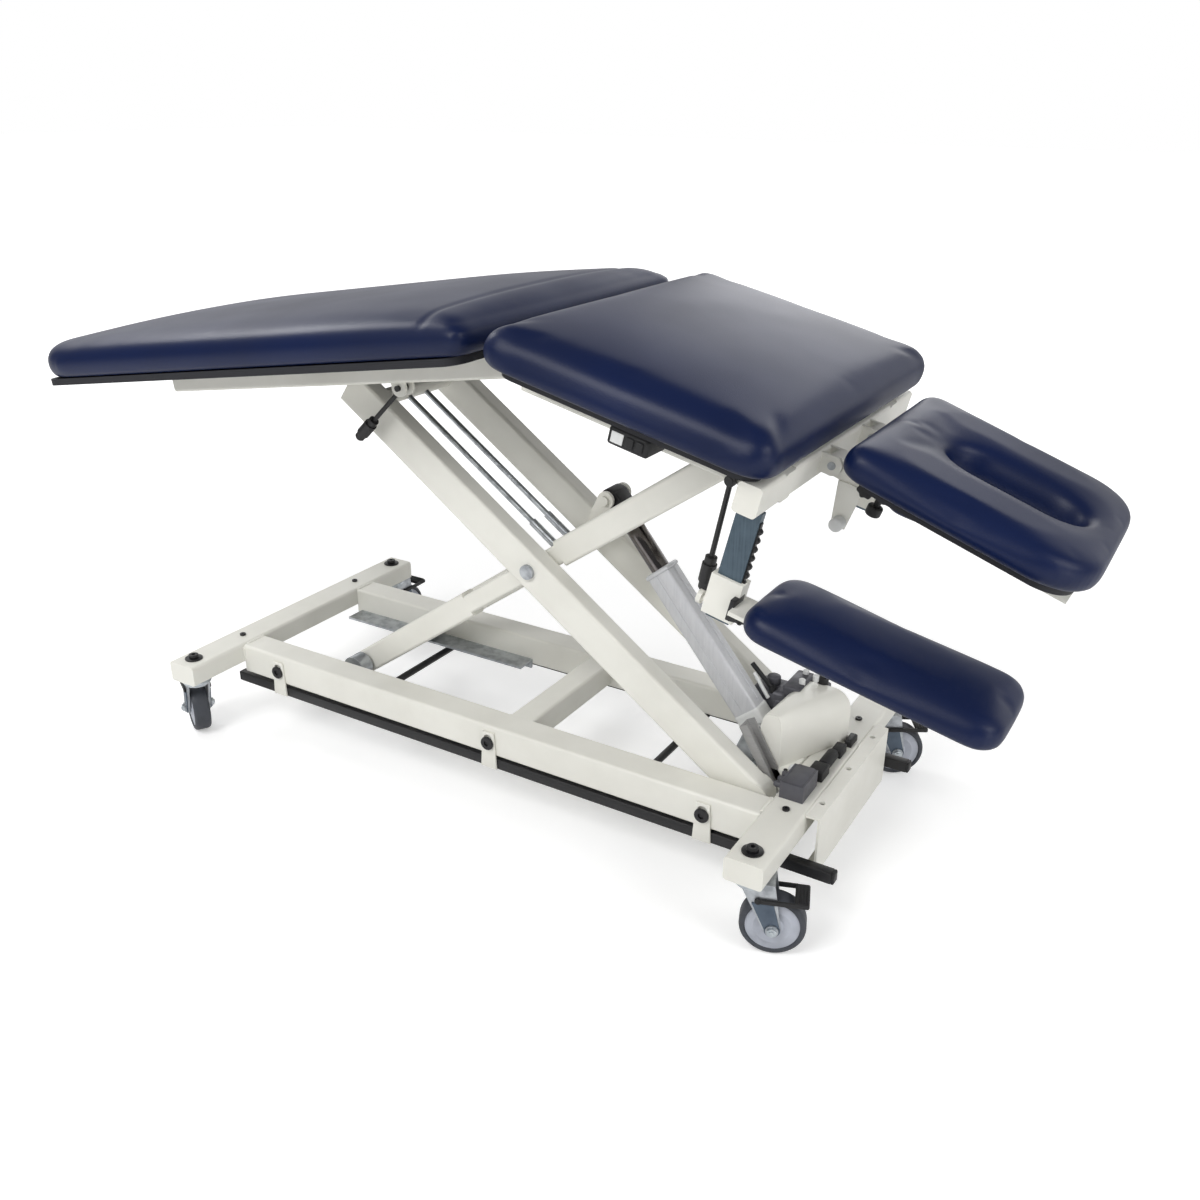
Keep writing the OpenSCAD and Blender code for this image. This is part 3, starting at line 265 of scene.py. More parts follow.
def pebbled():
    """Vinyl: a fine pebble of cells with soft creases between them, and faint shade."""
    tree, given, out = new_group("pebbled", Cloud=5.0, Amount=0.3, Pebble=700.0, Depth=0.1, Rough=0.4,
                                 Spread=0.08)
    place = add_node(tree, "TexCoord").outputs["Object"]
    cloud = add_node(tree, "TexNoise", {"Vector": place, "Scale": given["Cloud"]}, Detail=3.0)
    mask = add_node(tree, "MapRange", {"Value": cloud.outputs["Fac"]}, From_Min=0.35, From_Max=0.7)
    shaded(tree, given, out, mask.outputs["Result"])
    cells = add_node(tree, "TexVoronoi", {"Vector": place, "Scale": given["Pebble"]}, feature="SMOOTH_F1")
    raised(tree, out, {"Height": cells.outputs["Distance"], "Strength": given["Depth"]}, Distance=0.0006,
           invert=True)
    return tree


vinyl = finish_of("navy_vinyl", pebbled(), (7, 25, 66), (4, 16, 46), Cloud=4.0, Amount=0.5, Pebble=650.0,
                  Depth=0.2, Rough=0.38, Spread=0.06, specular=0.31)

side_in = (0.16, 0.07, 0.015, 0, 0.03, 0.12, 0.27, 0.47)
side_up = (0, 0.07, 0.22, 0.42, 0.62, 0.79, 0.9, 0.955)


def cushion_start(name, x0, x1, half, foot_corner, head_corner, thick):
    """The cut foam: a plane with round corners, raised ring by ring up to its flat top."""
    clear()
    tuck = side_in[0] * thick
    bpy.ops.mesh.primitive_plane_add(size=1, location=((x0 + x1) / 2, 0, 0))
    o = started(name)
    o.scale = (x1 - x0 - 2 * tuck, 2 * (half - tuck), 1)
    bpy.ops.object.transform_apply(location=True, rotation=True, scale=True)
    middle = (x0 + x1) / 2
    for sign, corner in ((-1, foot_corner), (1, head_corner)):
        choose_points(o, lambda p: sign * (p.x - middle) > (x1 - x0) / 2 - tuck - 0.0001)
        bpy.ops.mesh.bevel(affect="VERTICES", offset=max(corner - tuck, 0.002), segments=9)
        done()
    choose(o, lambda p, n: True)
    length, width = x1 - x0, 2 * half
    for i in range(1, len(side_in)):
        step = (side_in[i - 1] - side_in[i]) * thick
        rise = (side_up[i] - side_up[i - 1]) * thick
        if step >= 0:
            bpy.ops.mesh.extrude_region_move(TRANSFORM_OT_translate={"value": (0, 0, rise)})
            grown = side_in[i] * thick
            before = side_in[i - 1] * thick
            bpy.ops.transform.resize(value=((length - 2 * grown) / (length - 2 * before),
                                            (width - 2 * grown) / (width - 2 * before), 1),
                                     center_override=(middle, 0, 0))
        else:
            bpy.ops.mesh.inset(thickness=-step, depth=rise, use_even_offset=True)
    done()
    return o


def bulge(p, x0, x1, half):
    """The share of the crown at a point in plan: all of it in the middle, none at the edges."""
    along = min(max(min(p.x - x0, x1 - p.x) / min(half, (x1 - x0) / 2), 0), 1)
    across = min(max(1 - abs(p.y) / half, 0), 1)
    return (1 - (1 - along) ** 2.4) * (1 - (1 - across) ** 2.4)


def swell(o, pressure, limit, frames=16):
    """Blows the skin up as cloth over its pinned underside, and keeps every point near its start."""
    low = min(v.co.z for v in o.data.vertices)
    pinned = o.vertex_groups.new(name="welt")
    pinned.add([v.index for v in o.data.vertices if v.co.z < low + 0.006], 1.0, "REPLACE")
    before = [v.co.copy() for v in o.data.vertices]
    m = o.modifiers.new("skin", "CLOTH")
    m.settings.quality = 4
    m.settings.mass = 0.35
    m.settings.tension_stiffness = 24
    m.settings.compression_stiffness = 18
    m.settings.bending_stiffness = 6.0
    m.settings.use_pressure = True
    m.settings.uniform_pressure_force = pressure
    m.settings.vertex_group_mass = "welt"
    m.settings.effector_weights.gravity = 0
    m.point_cache.frame_start = 1
    m.point_cache.frame_end = frames
    scene = bpy.context.scene
    for f in range(1, frames + 1):
        scene.frame_set(f)
        bpy.context.view_layer.update()
    pick(o)
    bpy.ops.object.modifier_apply(modifier=m.name)
    scene.frame_set(1)
    for v, p in zip(o.data.vertices, before):
        move = v.co - p
        if move.length > limit:
            v.co = p + move * (limit / move.length)
        v.co.z = max(v.co.z, low)


def fold_across(o, at, end, depth, fall):
    """A sewn groove across a cushion, beyond which its top falls away to the end."""
    for v in o.data.vertices:
        if v.co.z > 0.035:
            share = min((v.co.z - 0.035) / 0.02, 1)
            beyond = min(max((v.co.x - at) / (end - at), 0), 1)
            v.co.z -= share * (depth * exp(-((v.co.x - at) / 0.008) ** 2) + fall * beyond ** 1.5)


def upholster(name, x0, x1, half, foot_corner, head_corner, thick, crown, base, cell, place, body, node,
              start=None, fold=None):
    """A whole cushion: its cut foam, remeshed, crowned, blown up as cloth, and smoothed."""
    room = 0.004
    o = start or cushion_start(name, x0 - room, x1 + room, half + room, foot_corner, head_corner, thick)
    modify(o, "REMESH", mode="VOXEL", voxel_size=cell)
    modify(o, "SMOOTH", factor=0.5, iterations=8)
    for v in o.data.vertices:
        if v.co.z > 0.6 * thick:
            v.co.z += crown * bulge(v.co, x0, x1, half) * min((v.co.z / thick - 0.6) / 0.25, 1)
    swell(o, 3.0, 0.004)
    modify(o, "SMOOTH", factor=0.5, iterations=8)
    modify(o, "SUBSURF", levels=1, render_levels=1)
    if fold:
        fold_across(o, *fold)
    o.data.transform(Matrix.Translation((0, 0, base)))
    settle(o, vinyl, body, place, smooth=0)
    bpy.ops.object.shade_smooth()
    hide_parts(node)


upholster("seat_pad", x0=-0.341, x1=0.120, half=0.342, foot_corner=0.046, head_corner=0.046, thick=0.060,
          crown=0.018, base=0.0575, cell=0.007, place=on_seat, body="seat_section", node="seat_cushion")
upholster("leg_pad", x0=-1.066, x1=-0.006, half=0.328, foot_corner=0.130, head_corner=0.034, thick=0.060,
          crown=0.024, base=0.034, cell=0.010, place=on_leg, body="leg_section", node="leg_cushion",
          fold=(-0.084, -0.006, 0.0022, 0.012))


# Face section's cushion: the same vinyl over foam, with a slot for the nose and mouth whose lip
# rolls down into a narrowing funnel
def cut(o, tool):
    """Takes the tool's space out of a piece, and the tool away."""
    modify(o, "BOOLEAN", operation="DIFFERENCE", object=tool, solver="EXACT")
    bpy.data.objects.remove(tool)


def slotted_start():
    """The face section's cut foam, out of which a cutter with a rolled lip takes the slot."""
    thick = 0.050
    o = cushion_start("face_pad", 0.022, 0.385, 0.190, 0.040, 0.088, thick)
    s0, s1, half = 0.124, 0.329, 0.046
    steps = ((0.62, 1.02), (0.35, 0.93), (0.14, 0.8), (0.04, 0.55), (0, 0.2), (0.02, -0.1))
    clear()
    g = steps[0][0] * thick
    bpy.ops.mesh.primitive_plane_add(size=1, location=((s0 + s1) / 2, 0, steps[0][1] * thick))
    c = started("slot_cutter")
    c.scale = (s1 - s0 + 2 * g, 2 * (half + g), 1)
    bpy.ops.object.transform_apply(location=True, rotation=True, scale=True)
    choose_points(c, lambda p: True)
    bpy.ops.mesh.bevel(affect="VERTICES", offset=(half + g) * 0.99, segments=16)
    done()
    choose(c, lambda p, n: True)
    bpy.ops.mesh.extrude_region_move(TRANSFORM_OT_translate={"value": (0, 0, 0.1 * thick)})
    done()
    choose(c, lambda p, n: n.z < -0.5 and p.z < steps[0][1] * thick + 0.0001)
    for (g0, u0), (g1, u1) in zip(steps, steps[1:]):
        bpy.ops.mesh.extrude_region_move(TRANSFORM_OT_translate={"value": (0, 0, (u1 - u0) * thick)})
        before, after = half + g0 * thick, half + g1 * thick
        long = (s1 - s0) / 2
        bpy.ops.transform.resize(value=((long + g1 * thick) / (long + g0 * thick), after / before, 1),
                                 center_override=((s0 + s1) / 2, 0, 0))
    bpy.ops.mesh.select_all(action="SELECT")
    bpy.ops.mesh.normals_make_consistent(inside=False)
    done()
    cut(o, c)
    return o


upholster("face_pad", x0=0.026, x1=0.381, half=0.186, foot_corner=0.040, head_corner=0.088, thick=0.050,
          crown=0.0, base=0.025, cell=0.005, place=on_head, body="head_section", node="head_cushion",
          start=slotted_start())


# Armrest cushions: narrow pads of the same vinyl and foam, screwed from below to the plates of
# their sleeves
arm_y = 0.294
for side, way in (("near", -1), ("far", 1)):
    upholster(side + "_arm_pad", x0=0.152, x1=0.500, half=0.0815, foot_corner=0.042, head_corner=0.042,
              thick=0.042, crown=0.006, base=-0.132, cell=0.005,
              place=on_seat @ Matrix.Translation((0, way * arm_y, 0)), body=side + "_armrest",
              node=side + "_pad")


# Boards under the cushions: birch plywood whose layers show faintly along the edge, coloured near black
# partly for the vinyl wrapped over it and partly as painted shade of the undercut beneath the cushions.
# They are screwed to the frames from below.
def plywood():
    """Layers of light and dark veneer across Z, with a faint grain along X."""
    tree, given, out = new_group("plywood", Layers=300.0, Turn=0.0, Rough=0.55)
    place = add_node(tree, "TexCoord").outputs["Object"]
    turn = add_node(tree, "VectorRotate", {"Vector": place, "Angle": given["Turn"]}, rotation_type="Y_AXIS")
    parts = add_node(tree, "SeparateXYZ", {0: turn.outputs[0]})
    wave = add_node(tree, "Math", {0: parts.outputs["Z"], 1: given["Layers"]}, operation="MULTIPLY")
    beat = add_node(tree, "Math", {0: wave.outputs[0]}, operation="PINGPONG")
    beat.inputs[1].default_value = 1
    stretch = add_node(tree, "VectorMath", {0: turn.outputs[0]}, operation="MULTIPLY")
    stretch.inputs[1].default_value = (12, 180, 180)
    grain = add_node(tree, "TexNoise", {"Vector": stretch.outputs[0]}, Scale=1.0, Detail=4.0)
    both = add_node(tree, "Math", {0: beat.outputs[0], 1: grain.outputs["Fac"]}, operation="MULTIPLY")
    mix = add_node(tree, "Mix", {"Factor": both.outputs[0], 6: given["Colour"], 7: given["Shade"]},
                   data_type="RGBA")
    tree.links.new(mix.outputs[2], out["Color"])
    tree.links.new(given["Rough"], out["Roughness"])
    raised(tree, out, {"Height": grain.outputs["Fac"]}, Distance=0.0005, Strength=0.2)
    return tree


ply_group = plywood()
# Near-black colour and shade: partly the vinyl wrap, partly painted shade of the undercut under the cushions
for node, angle in (("seat_board", -13.2), ("leg_board", 9), ("head_board", -20)):
    coat_nodes(finish_of("undercut_shade_ply_" + node, ply_group, (30, 31, 38), (16, 17, 22), Layers=660.0,
                         Turn=radians(angle), Rough=0.6), node)


# Seams of weld on the frame: rows of small ripples where tube meets tube. They are steel like the
# tubes, and lie under the same coat.
def weld(a, b, body, place=None):
    """A seam from point a to point b."""
    a, b = Vector(a), Vector(b)
    clear()
    bpy.ops.mesh.primitive_uv_sphere_add(segments=10, ring_count=5, radius=0.0034)
    o = started("weld")
    o.scale = (0.85, 1, 0.8)
    bpy.ops.object.transform_apply(location=True, rotation=True, scale=True)
    pitch = 0.0036
    modify(o, "ARRAY", count=max(int((b - a).length / pitch), 2), use_relative_offset=False,
           use_constant_offset=True, constant_offset_displace=(pitch, 0, 0))
    o.matrix_world = Matrix.Translation(a) @ (b - a).to_track_quat("X", "Z").to_matrix().to_4x4()
    return settle(o, cream_coat, body, place, smooth=60)


rail_in, rail_out, rail_top, rail_end = 0.139, 0.197, 0.169, 0.566
on_arms, on_links = (turned(0.0906125, 0.4518605, angle) for angle in (35.4, -35.4))
for way in (-1, 1):
    for end in (-1, 1):
        x = end * (rail_end - 0.001)
        weld((x, way * (rail_in + 0.006), rail_top), (x, way * (rail_out - 0.006), rail_top), "base")
        weld((x, way * rail_out, rail_top - 0.006), (x, way * rail_out, 0.132), "base")
    for x in (0.052, 0.098):
        weld((x, way * rail_in, 0.164), (x, way * rail_in, 0.118), "base")
    weld((0.630, way * 0.160, 0.170), (0.630, way * 0.075, 0.170), "base")
    weld((-0.420, way * 0.094, 0.013), (-0.420, way * 0.094, -0.013), "main_arms", on_arms)
    weld((0.081, way * 0.054, 0.013), (0.081, way * 0.054, -0.013), "link_arms", on_links)
    weld((-0.281, way * 0.199, 0.043), (-0.281, way * 0.199, 0.004), "seat_section", on_seat)
    weld((0.076, way * 0.199, 0.043), (0.076, way * 0.199, 0.004), "seat_section", on_seat)
    for u in (-0.771, -0.621, -0.047):
        weld((u, way * 0.144, -0.001), (u, way * 0.144, 0.020), "leg_section", on_leg)


# Screws: black socket head caps over the castor stems and the rails, and shoulder bolts that
# guide the foot bars. Turned steel with a hexagon sunk in the head.
def rod(name, a, b, r, sides=32):
    """A round bar from point a to point b."""
    clear()
    a, b = Vector(a), Vector(b)
    turn = (b - a).to_track_quat("Z", "Y").to_euler()
    bpy.ops.mesh.primitive_cylinder_add(vertices=sides, radius=r, depth=(b - a).length,
                                        location=(a + b) / 2, rotation=turn)
    o = started(name)
    set_in_mesh(o)
    return o


def push(o, test, inset, depth):
    """Draws the chosen faces in by the inset and moves them by the depth along their normals."""
    choose(o, test)
    bpy.ops.mesh.inset(thickness=inset, depth=depth, use_even_offset=True)
    done()
    return o


def ease(o, width, segments=3, angle=30):
    """Rounds the sharp edges."""
    modify(o, "BEVEL", width=width, segments=segments, limit_method="ANGLE", angle_limit=radians(angle))
    return o


def joined(name, parts):
    """One piece out of several, under a new name."""
    clear()
    for p in parts:
        p.select_set(True)
    bpy.context.view_layer.objects.active = parts[0]
    if len(parts) > 1:
        bpy.ops.object.join()
    return started(name)


def socket_screw(name, foot, way, r, h):
    """A cap screw whose head stands on foot and points along way."""
    o = push(rod(name, (0, 0, 0), (0, 0, h), r, 36), lambda p, n: n.z > 0.9, r * 0.16, 0)
    ease(o, r * 0.12, 2)
    cut(o, rod(name + "_key", (0, 0, h * 0.45), (0, 0, h * 2), r * 0.45, 6))
    o.matrix_world = Matrix.Translation(foot) @ Vector(way).to_track_quat("Z", "Y").to_matrix().to_4x4()
    set_in_mesh(o)
    return o


beam_top, washer_top, stem_x, stem_y = 0.172, 0.1745, 0.598, 0.295
guide_at, guide_z, guide_end = (-0.470, 0.045, 0.470), 0.136, 0.2016
screws = []
for sx in (-1, 1):
    for sy in (-1, 1):
        x, y = sx * stem_x, sy * stem_y
        washer = ease(rod("washer", (x, y, beam_top), (x, y, washer_top), 0.017, 40), 0.0008, 2)
        screws += [washer, socket_screw("cap", (x, y, washer_top), (0, 0, 1), 0.0095, 0.007),
                   socket_screw("cap", (x, sy * 0.168, beam_top), (0, 0, 1), 0.006, 0.004)]
for way in (-1, 1):
    for x in guide_at:
        shoulder = rod("shoulder", (x, way * rail_out, guide_z), (x, way * guide_end, guide_z), 0.008)
        ease(shoulder, 0.0004, 1)
        screws += [shoulder, socket_screw("cap", (x, way * guide_end, guide_z), (0, way, 0), 0.0128, 0.0047)]
screws = settle(joined("frame_screws", screws), black_coat, "base", smooth=30)
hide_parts("frame_bolts")


# Drive: a rounded sheet cover across the head beam with the motor behind it, and a control box
# with its glands on the beam. Sprayed steel cover, cast dark housings.
cast_dark = finish_of("dark_casting", coat_group, (92, 92, 98), (60, 60, 64), Cloud=30.0, Amount=0.7,
                      Ripple=260.0, Depth=0.35, Rough=0.45, Spread=0.2, metallic=0.35)
black_plastic = finish_of("black_plastic", coat_group, (24, 24, 26), (38, 38, 40), Cloud=12.0, Amount=0.5,
                          Ripple=1500.0, Depth=0.2, Rough=0.5, Spread=0.15)


def block(name, low, high):
    """A box between two corners."""
    clear()
    low, high = Vector(low), Vector(high)
    bpy.ops.mesh.primitive_cube_add(size=1, location=(low + high) / 2)
    o = started(name)
    o.scale = high - low
    set_in_mesh(o)
    return o


cover_r = 0.034
cover_x, cover_y0, cover_y1 = 0.503, -0.062, 0.086
hump = block("drive_cover", (cover_x, cover_y0, 0.172), (0.607, cover_y1, 0.268))
bm = edit(hump, "EDGE")
for e in bm.edges:
    a, b = (v.co for v in e.verts)
    e.select_set(a.z > 0.26 and b.z > 0.26 and abs(a.x - b.x) < 0.001)
bmesh.update_edit_mesh(hump.data)
bpy.ops.mesh.bevel(offset=cover_r, segments=14)
done()
for v in hump.data.vertices:
    v.co.x = cover_x + (v.co.x - cover_x) * (0.36 + 0.64 * (v.co.y - cover_y0) / (cover_y1 - cover_y0))
push(hump, lambda p, n: abs(n.y) > 0.9, 0.004, 0)
push(hump, lambda p, n: abs(n.y) > 0.9 and -0.061 < p.y < 0.085 or abs(n.y) > 0.99, 0.002, -0.0015)
ease(hump, 0.0016, 3, 40)
skirt = ease(block("cover_foot", (0.5032, -0.066, 0.131), (0.566, 0.090, 0.1735)), 0.002, 2)
cover = settle(joined("drive_cover", [hump, skirt]), cream_coat, "base")
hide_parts("motor_cover")
parts = []
for y in (-0.0645, 0.0885):
    for x in (0.515, 0.554):
        parts.append(socket_screw("cover_screw", (x, y, 0.1745), (0, 0, 1), 0.0035, 0.002))
settle(joined("cover_screws", parts), black_coat, "base", smooth=30)


def ribbed_motor():
    """The motor behind the cover: a finned can with a domed end and a gear housing."""
    motor_x, motor_z = 0.534, 0.216
    can = rod("motor", (motor_x, cover_y1, motor_z), (motor_x, 0.138, motor_z), 0.027, 40)
    push(can, lambda p, n: n.y > 0.9, 0.006, 0.004)
    push(can, lambda p, n: n.y > 0.9 and p.y > 0.137, 0.008, 0.0)
    ease(can, 0.0018, 2)
    fins, count = [], 10
    for k in range(count):
        a = 2 * pi * k / count
        f = ease(block("fin", (-0.0012, 0.090, 0.0255), (0.0012, 0.132, 0.0295)), 0.0006, 1)
        f.matrix_world = Matrix.Translation((motor_x, 0, motor_z)) @ Matrix.Rotation(a, 4, "Y")
        set_in_mesh(f)
        fins.append(f)
    gear = block("gear", (0.488, 0.028, 0.176), (0.5045, 0.078, 0.246))
    push(gear, lambda p, n: n.x < -0.9, 0.007, 0.006)
    ease(gear, 0.004, 3)
    gear_top = block("gear_top", (0.512, 0.094, 0.236), (0.556, 0.124, 0.254))
    push(gear_top, lambda p, n: n.z > 0.9, 0.004, 0.003)
    ease(gear_top, 0.002, 2)
    return joined("motor_housing", [can, gear, gear_top] + fins)


settle(ribbed_motor(), cast_dark, "base")


def gearbox():
    """The grey gear housing between the cover and the actuator, with its hand release."""
    case = block("gearbox", (0.446, 0.030, 0.206), (0.506, 0.086, 0.256))
    push(case, lambda p, n: n.z > 0.9, 0.006, 0.004)
    push(case, lambda p, n: n.x < -0.9, 0.008, 0.005)
    ease(case, 0.003, 3)
    neck = rod("gear_neck", (0.474, 0.058, 0.258), (0.474, 0.058, 0.274), 0.012)
    push(neck, lambda p, n: n.z > 0.9, 0.004, 0.003)
    ease(neck, 0.0012, 2)
    flange = ease(block("gear_flange", (0.498, 0.036, 0.236), (0.530, 0.110, 0.272)), 0.004, 3)
    return joined("gearbox", [case, neck, flange])


settle(gearbox(), cast_dark, "base")
lever = ease(rod("release_lever", (0.480, 0.036, 0.262), (0.443, 0.030, 0.303), 0.0042, 20), 0.0012, 2)
foot = rod("release_foot", (0.480, 0.036, 0.254), (0.480, 0.036, 0.266), 0.0065, 24)
cap = rod("gear_cap", (0.552, 0.090, 0.262), (0.552, 0.090, 0.280), 0.009, 28)
push(cap, lambda p, n: n.z > 0.9, 0.0025, 0.0015)
for o in (foot, cap):
    ease(o, 0.001, 2)
settle(joined("release_lever", [lever, foot, cap]), black_plastic, "base")
pale_plastic = finish_of("pale_plastic", coat_group, (222, 223, 222), (196, 198, 198), Cloud=30.0,
                         Amount=0.4, Ripple=900.0, Depth=0.05, Rough=0.4, Spread=0.1)
fittings = [rod("push_rod", (0.449, 0.0275, 0.288), (0.478, 0.0275, 0.246), 0.0035, 20)]
for x, y, z in ((0.524, 0.062, 0.280), (0.541, 0.082, 0.284), (0.516, 0.100, 0.279)):
    fittings.append(rod("fitting", (x, y, z - 0.012), (x, y, z), 0.0055, 20))
for o in fittings:
    ease(o, 0.001, 2)
clear()
bpy.ops.mesh.primitive_uv_sphere_add(segments=24, ring_count=14, radius=0.0078,
                                     location=(0.568, -0.068, 0.184))
ball = started("ball_fitting")
set_in_mesh(ball)
neck = rod("ball_neck", (0.568, -0.068, 0.172), (0.568, -0.068, 0.180), 0.004, 20)
settle(joined("pale_fittings", fittings + [ball, neck]), pale_plastic, "base", smooth=40)
plugs = []
for low, high in (((0.592, -0.066, 0.172), (0.618, -0.032, 0.190)),
                  ((0.600, 0.020, 0.172), (0.618, 0.050, 0.187)),
                  ((0.608, 0.064, 0.172), (0.621, 0.096, 0.184))):
    plug = push(block("wiring_plug", low, high), lambda p, n: n.z > 0.9, 0.003, 0.0015)
    plugs.append(ease(plug, 0.0015, 2))
drum = rod("wiring_drum", (0.606, -0.030, 0.1825), (0.606, 0.014, 0.1825), 0.0105, 32)
push(drum, lambda p, n: abs(n.y) > 0.9, 0.002, 0.001)
ease(drum, 0.001, 2)
settle(joined("wiring_plugs", plugs + [drum]), black_plastic, "base")

# The drive bracket's mid grey matches its web as seen in shadow inside the channel: partly the steel's own
# tone, partly painted shade
steel_tone_and_shade = finish_of("steel_tone_and_shade", metal_group, (158, 157, 156), (128, 128, 128), Cloud=26.0,
                         Amount=0.5, Streak=(40, 400, 400), Depth=0.04, Rough=0.42, Spread=0.15,
                         metallic=0.3)
bracket = block("drive_bracket", (0, -0.0155, -0.003), (0.126, 0.0155, 0.013))
cut(bracket, block("trough", (-0.01, -0.0125, 0), (0.136, 0.0125, 0.02)))
ease(bracket, 0.0008, 2)
on_case = turned(0.481, 0.250, 59.4) @ Matrix.Translation((0, -0.0785, 0))
settle(bracket, steel_tone_and_shade, "base", on_case)

box_x = 0.594
box = block("control_box", (0.574, -0.140, 0.1722), (0.614, -0.078, 0.202))
push(box, lambda p, n: n.z > 0.9, 0.002, 0)
push(box, lambda p, n: n.z > 0.9 and abs(p.x - box_x) < 0.017, 0.0012, -0.001)
push(box, lambda p, n: n.z > 0.9 and abs(p.x - box_x) < 0.015, 0.004, 0.002)
ease(box, 0.0022, 3)
glands = []
for y in (-0.126, -0.109, -0.092):
    g = rod("gland", (0.5745, y, 0.186), (0.563, y, 0.186), 0.0055, 20)
    push(g, lambda p, n: n.x < -0.9, 0.0015, 0.004)
    glands.append(ease(g, 0.0007, 2))
box_grey = finish_of("dark_grey_case", coat_group, (84, 84, 90), (60, 60, 65), Cloud=20.0, Amount=0.5,
                     Ripple=900.0, Depth=0.12, Rough=0.45, Spread=0.15)
box = settle(joined("control_box", [box] + glands), box_grey, "base")
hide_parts("control_box")


# Castors: a grey polyurethane tread on a pale disc, a plated fork with slate cheeks, and a
# brake pedal with a ribbed tread
tread = finish_of("castor_tread", coat_group, (62, 65, 72), (40, 42, 47), Cloud=20.0, Amount=0.6,
                  Ripple=500.0, Depth=0.2, Rough=0.5, Spread=0.2)
disc = finish_of("castor_disc", coat_group, (178, 182, 192), (140, 144, 154), Cloud=26.0, Amount=0.5,
                 Ripple=700.0, Depth=0.1, Rough=0.36, Spread=0.15)
slate = finish_of("slate_cheek", coat_group, (84, 97, 112), (58, 68, 80), Cloud=30.0, Amount=0.6,
                  Ripple=600.0, Depth=0.1, Rough=0.34, Spread=0.15, metallic=0.2)
castor_at = ((stem_x, -stem_y, 20), (stem_x, stem_y, 30), (-stem_x, -stem_y, 150), (-stem_x, stem_y, 90))
trail, axle_z, wheel_r, wheel_half, disc_r = 0.038, 0.051, 0.051, 0.016, 0.0418


def wheel_form():
    """A tread with soft shoulders, and a disc with a rim, a dish and a hub on each side."""
    o = rod("wheel", (trail, -wheel_half, axle_z), (trail, wheel_half, axle_z), wheel_r, 64)
    ease(o, 0.0065, 4, 60)
    rings = ((0.0015, 0), (0.0015, -0.0025), (0.010, 0.0005), (0.0025, 0.0015), (0.012, -0.002),
             (0.003, 0.003), (0.002, 0.0005))
    for way in (-1, 1):
        for inset, depth in rings:
            push(o, lambda p, n: n.y * way > 0.95 and hypot(p.x - trail, p.z - axle_z) < 0.002, inset, depth)
    return o


def pedal_form():
    """A ribbed step on two arms with eyes."""
    parts = [ease(block("pedal", (0.068, -0.0263, 0.0975), (0.090, 0.0263, 0.1065)), 0.003, 3)]
    for k in range(4):
        x = 0.0715 + 0.0048 * k
        parts.append(ease(block("rib", (x, -0.022, 0.1045), (x + 0.0022, 0.022, 0.1079)), 0.0008, 2))
    for way in (-1, 1):
        low, high = sorted((way * 0.0223, way * 0.0263))
        arm = ease(block("pedal_arm", (0.014, low, 0.098), (0.072, high, 0.106)), 0.0012, 2)
        eye = ease(rod("pedal_eye", (0.014, low, 0.102), (0.014, high, 0.102), 0.0052, 24), 0.0006, 2)
        parts += [arm, eye]
    return joined("pedal", parts)


def cheek_form():
    """Slate tongues over the fork's legs, with round bosses at the axle."""
    parts = []
    for way in (-1, 1):
        low, high = sorted((way * 0.0221, way * 0.0243))
        boss = ease(rod("boss", (trail, low, axle_z), (trail, high, axle_z), 0.0122, 32), 0.0006, 2)
        tongue = block("tongue", (trail - 0.0122, low, axle_z), (trail + 0.0122, high, 0.0975))
        choose(tongue, lambda p, n: n.z > 0.9)
        bpy.ops.transform.translate(value=(-0.017, 0, 0))
        bpy.ops.transform.resize(value=(1.35, 1, 1), center_override=(trail - 0.017, 0, 0.1))
        done()
        ease(tongue, 0.0006, 2)
        parts += [boss, tongue]
    return joined("fork_cheek", parts)


def fitting_form():
    """The axle's nuts and tips, and the two races of the swivel."""
    parts = []
    for way in (-1, 1):
        nut = rod("nut", (trail, way * 0.0243, axle_z), (trail, way * 0.0308, axle_z), 0.0085, 6)
        ease(nut, 0.0009, 2, 20)
        tip = rod("tip", (trail, way * 0.0300, axle_z), (trail, way * 0.0330, axle_z), 0.0042, 20)
        ease(tip, 0.0007, 2)
        parts += [nut, tip]
    race = ease(rod("race", (0, 0, 0.1225), (0, 0, 0.1305), 0.0275, 48), 0.0024, 3)
    lower = ease(rod("lower_race", (0, 0, 0.1185), (0, 0, 0.1225), 0.0235, 48), 0.001, 2)
    return joined("castor_fittings", parts + [race, lower])


bright_zinc = finish_of("bright_zinc", metal_group, (206, 212, 216), (150, 160, 168), Cloud=60.0,
                        Amount=0.5, Streak=(90, 90, 90), Depth=0.05, Rough=0.24, Spread=0.2, metallic=0.9)
for i, (x, y, angle) in enumerate(castor_at):
    place = Matrix.Translation((x, y, 0)) @ Matrix.Rotation(radians(angle), 4, "Z")
    n = str(i + 1)
    wheel = wheel_form()
    wheel.name = "wheel_" + n
    wheel.data.materials.append(tread)
    wheel.data.materials.append(disc)
    for f in wheel.data.polygons:
        c = f.center
        f.material_index = int(hypot(c.x - trail, c.z - axle_z) < disc_r and abs(c.y) > 0.009)
    settle(wheel, None, "wheel_" + n, place, smooth=30)
    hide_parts("castor_wheel_" + n)
    pedal = pedal_form()
    pedal.name = "pedal_" + n
    settle(pedal, black_plastic, "pedal_" + n, place)
    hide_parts("brake_pedal_" + n)
    cheek = cheek_form()
    cheek.name = "fork_cheeks_" + n
    settle(cheek, slate, "castor_" + n, place)
    fitting = fitting_form()
    fitting.name = "castor_fittings_" + n
    settle(fitting, bright_zinc, "castor_" + n, place, smooth=30)
    coat_nodes(zinc, "castor_fork_" + n)


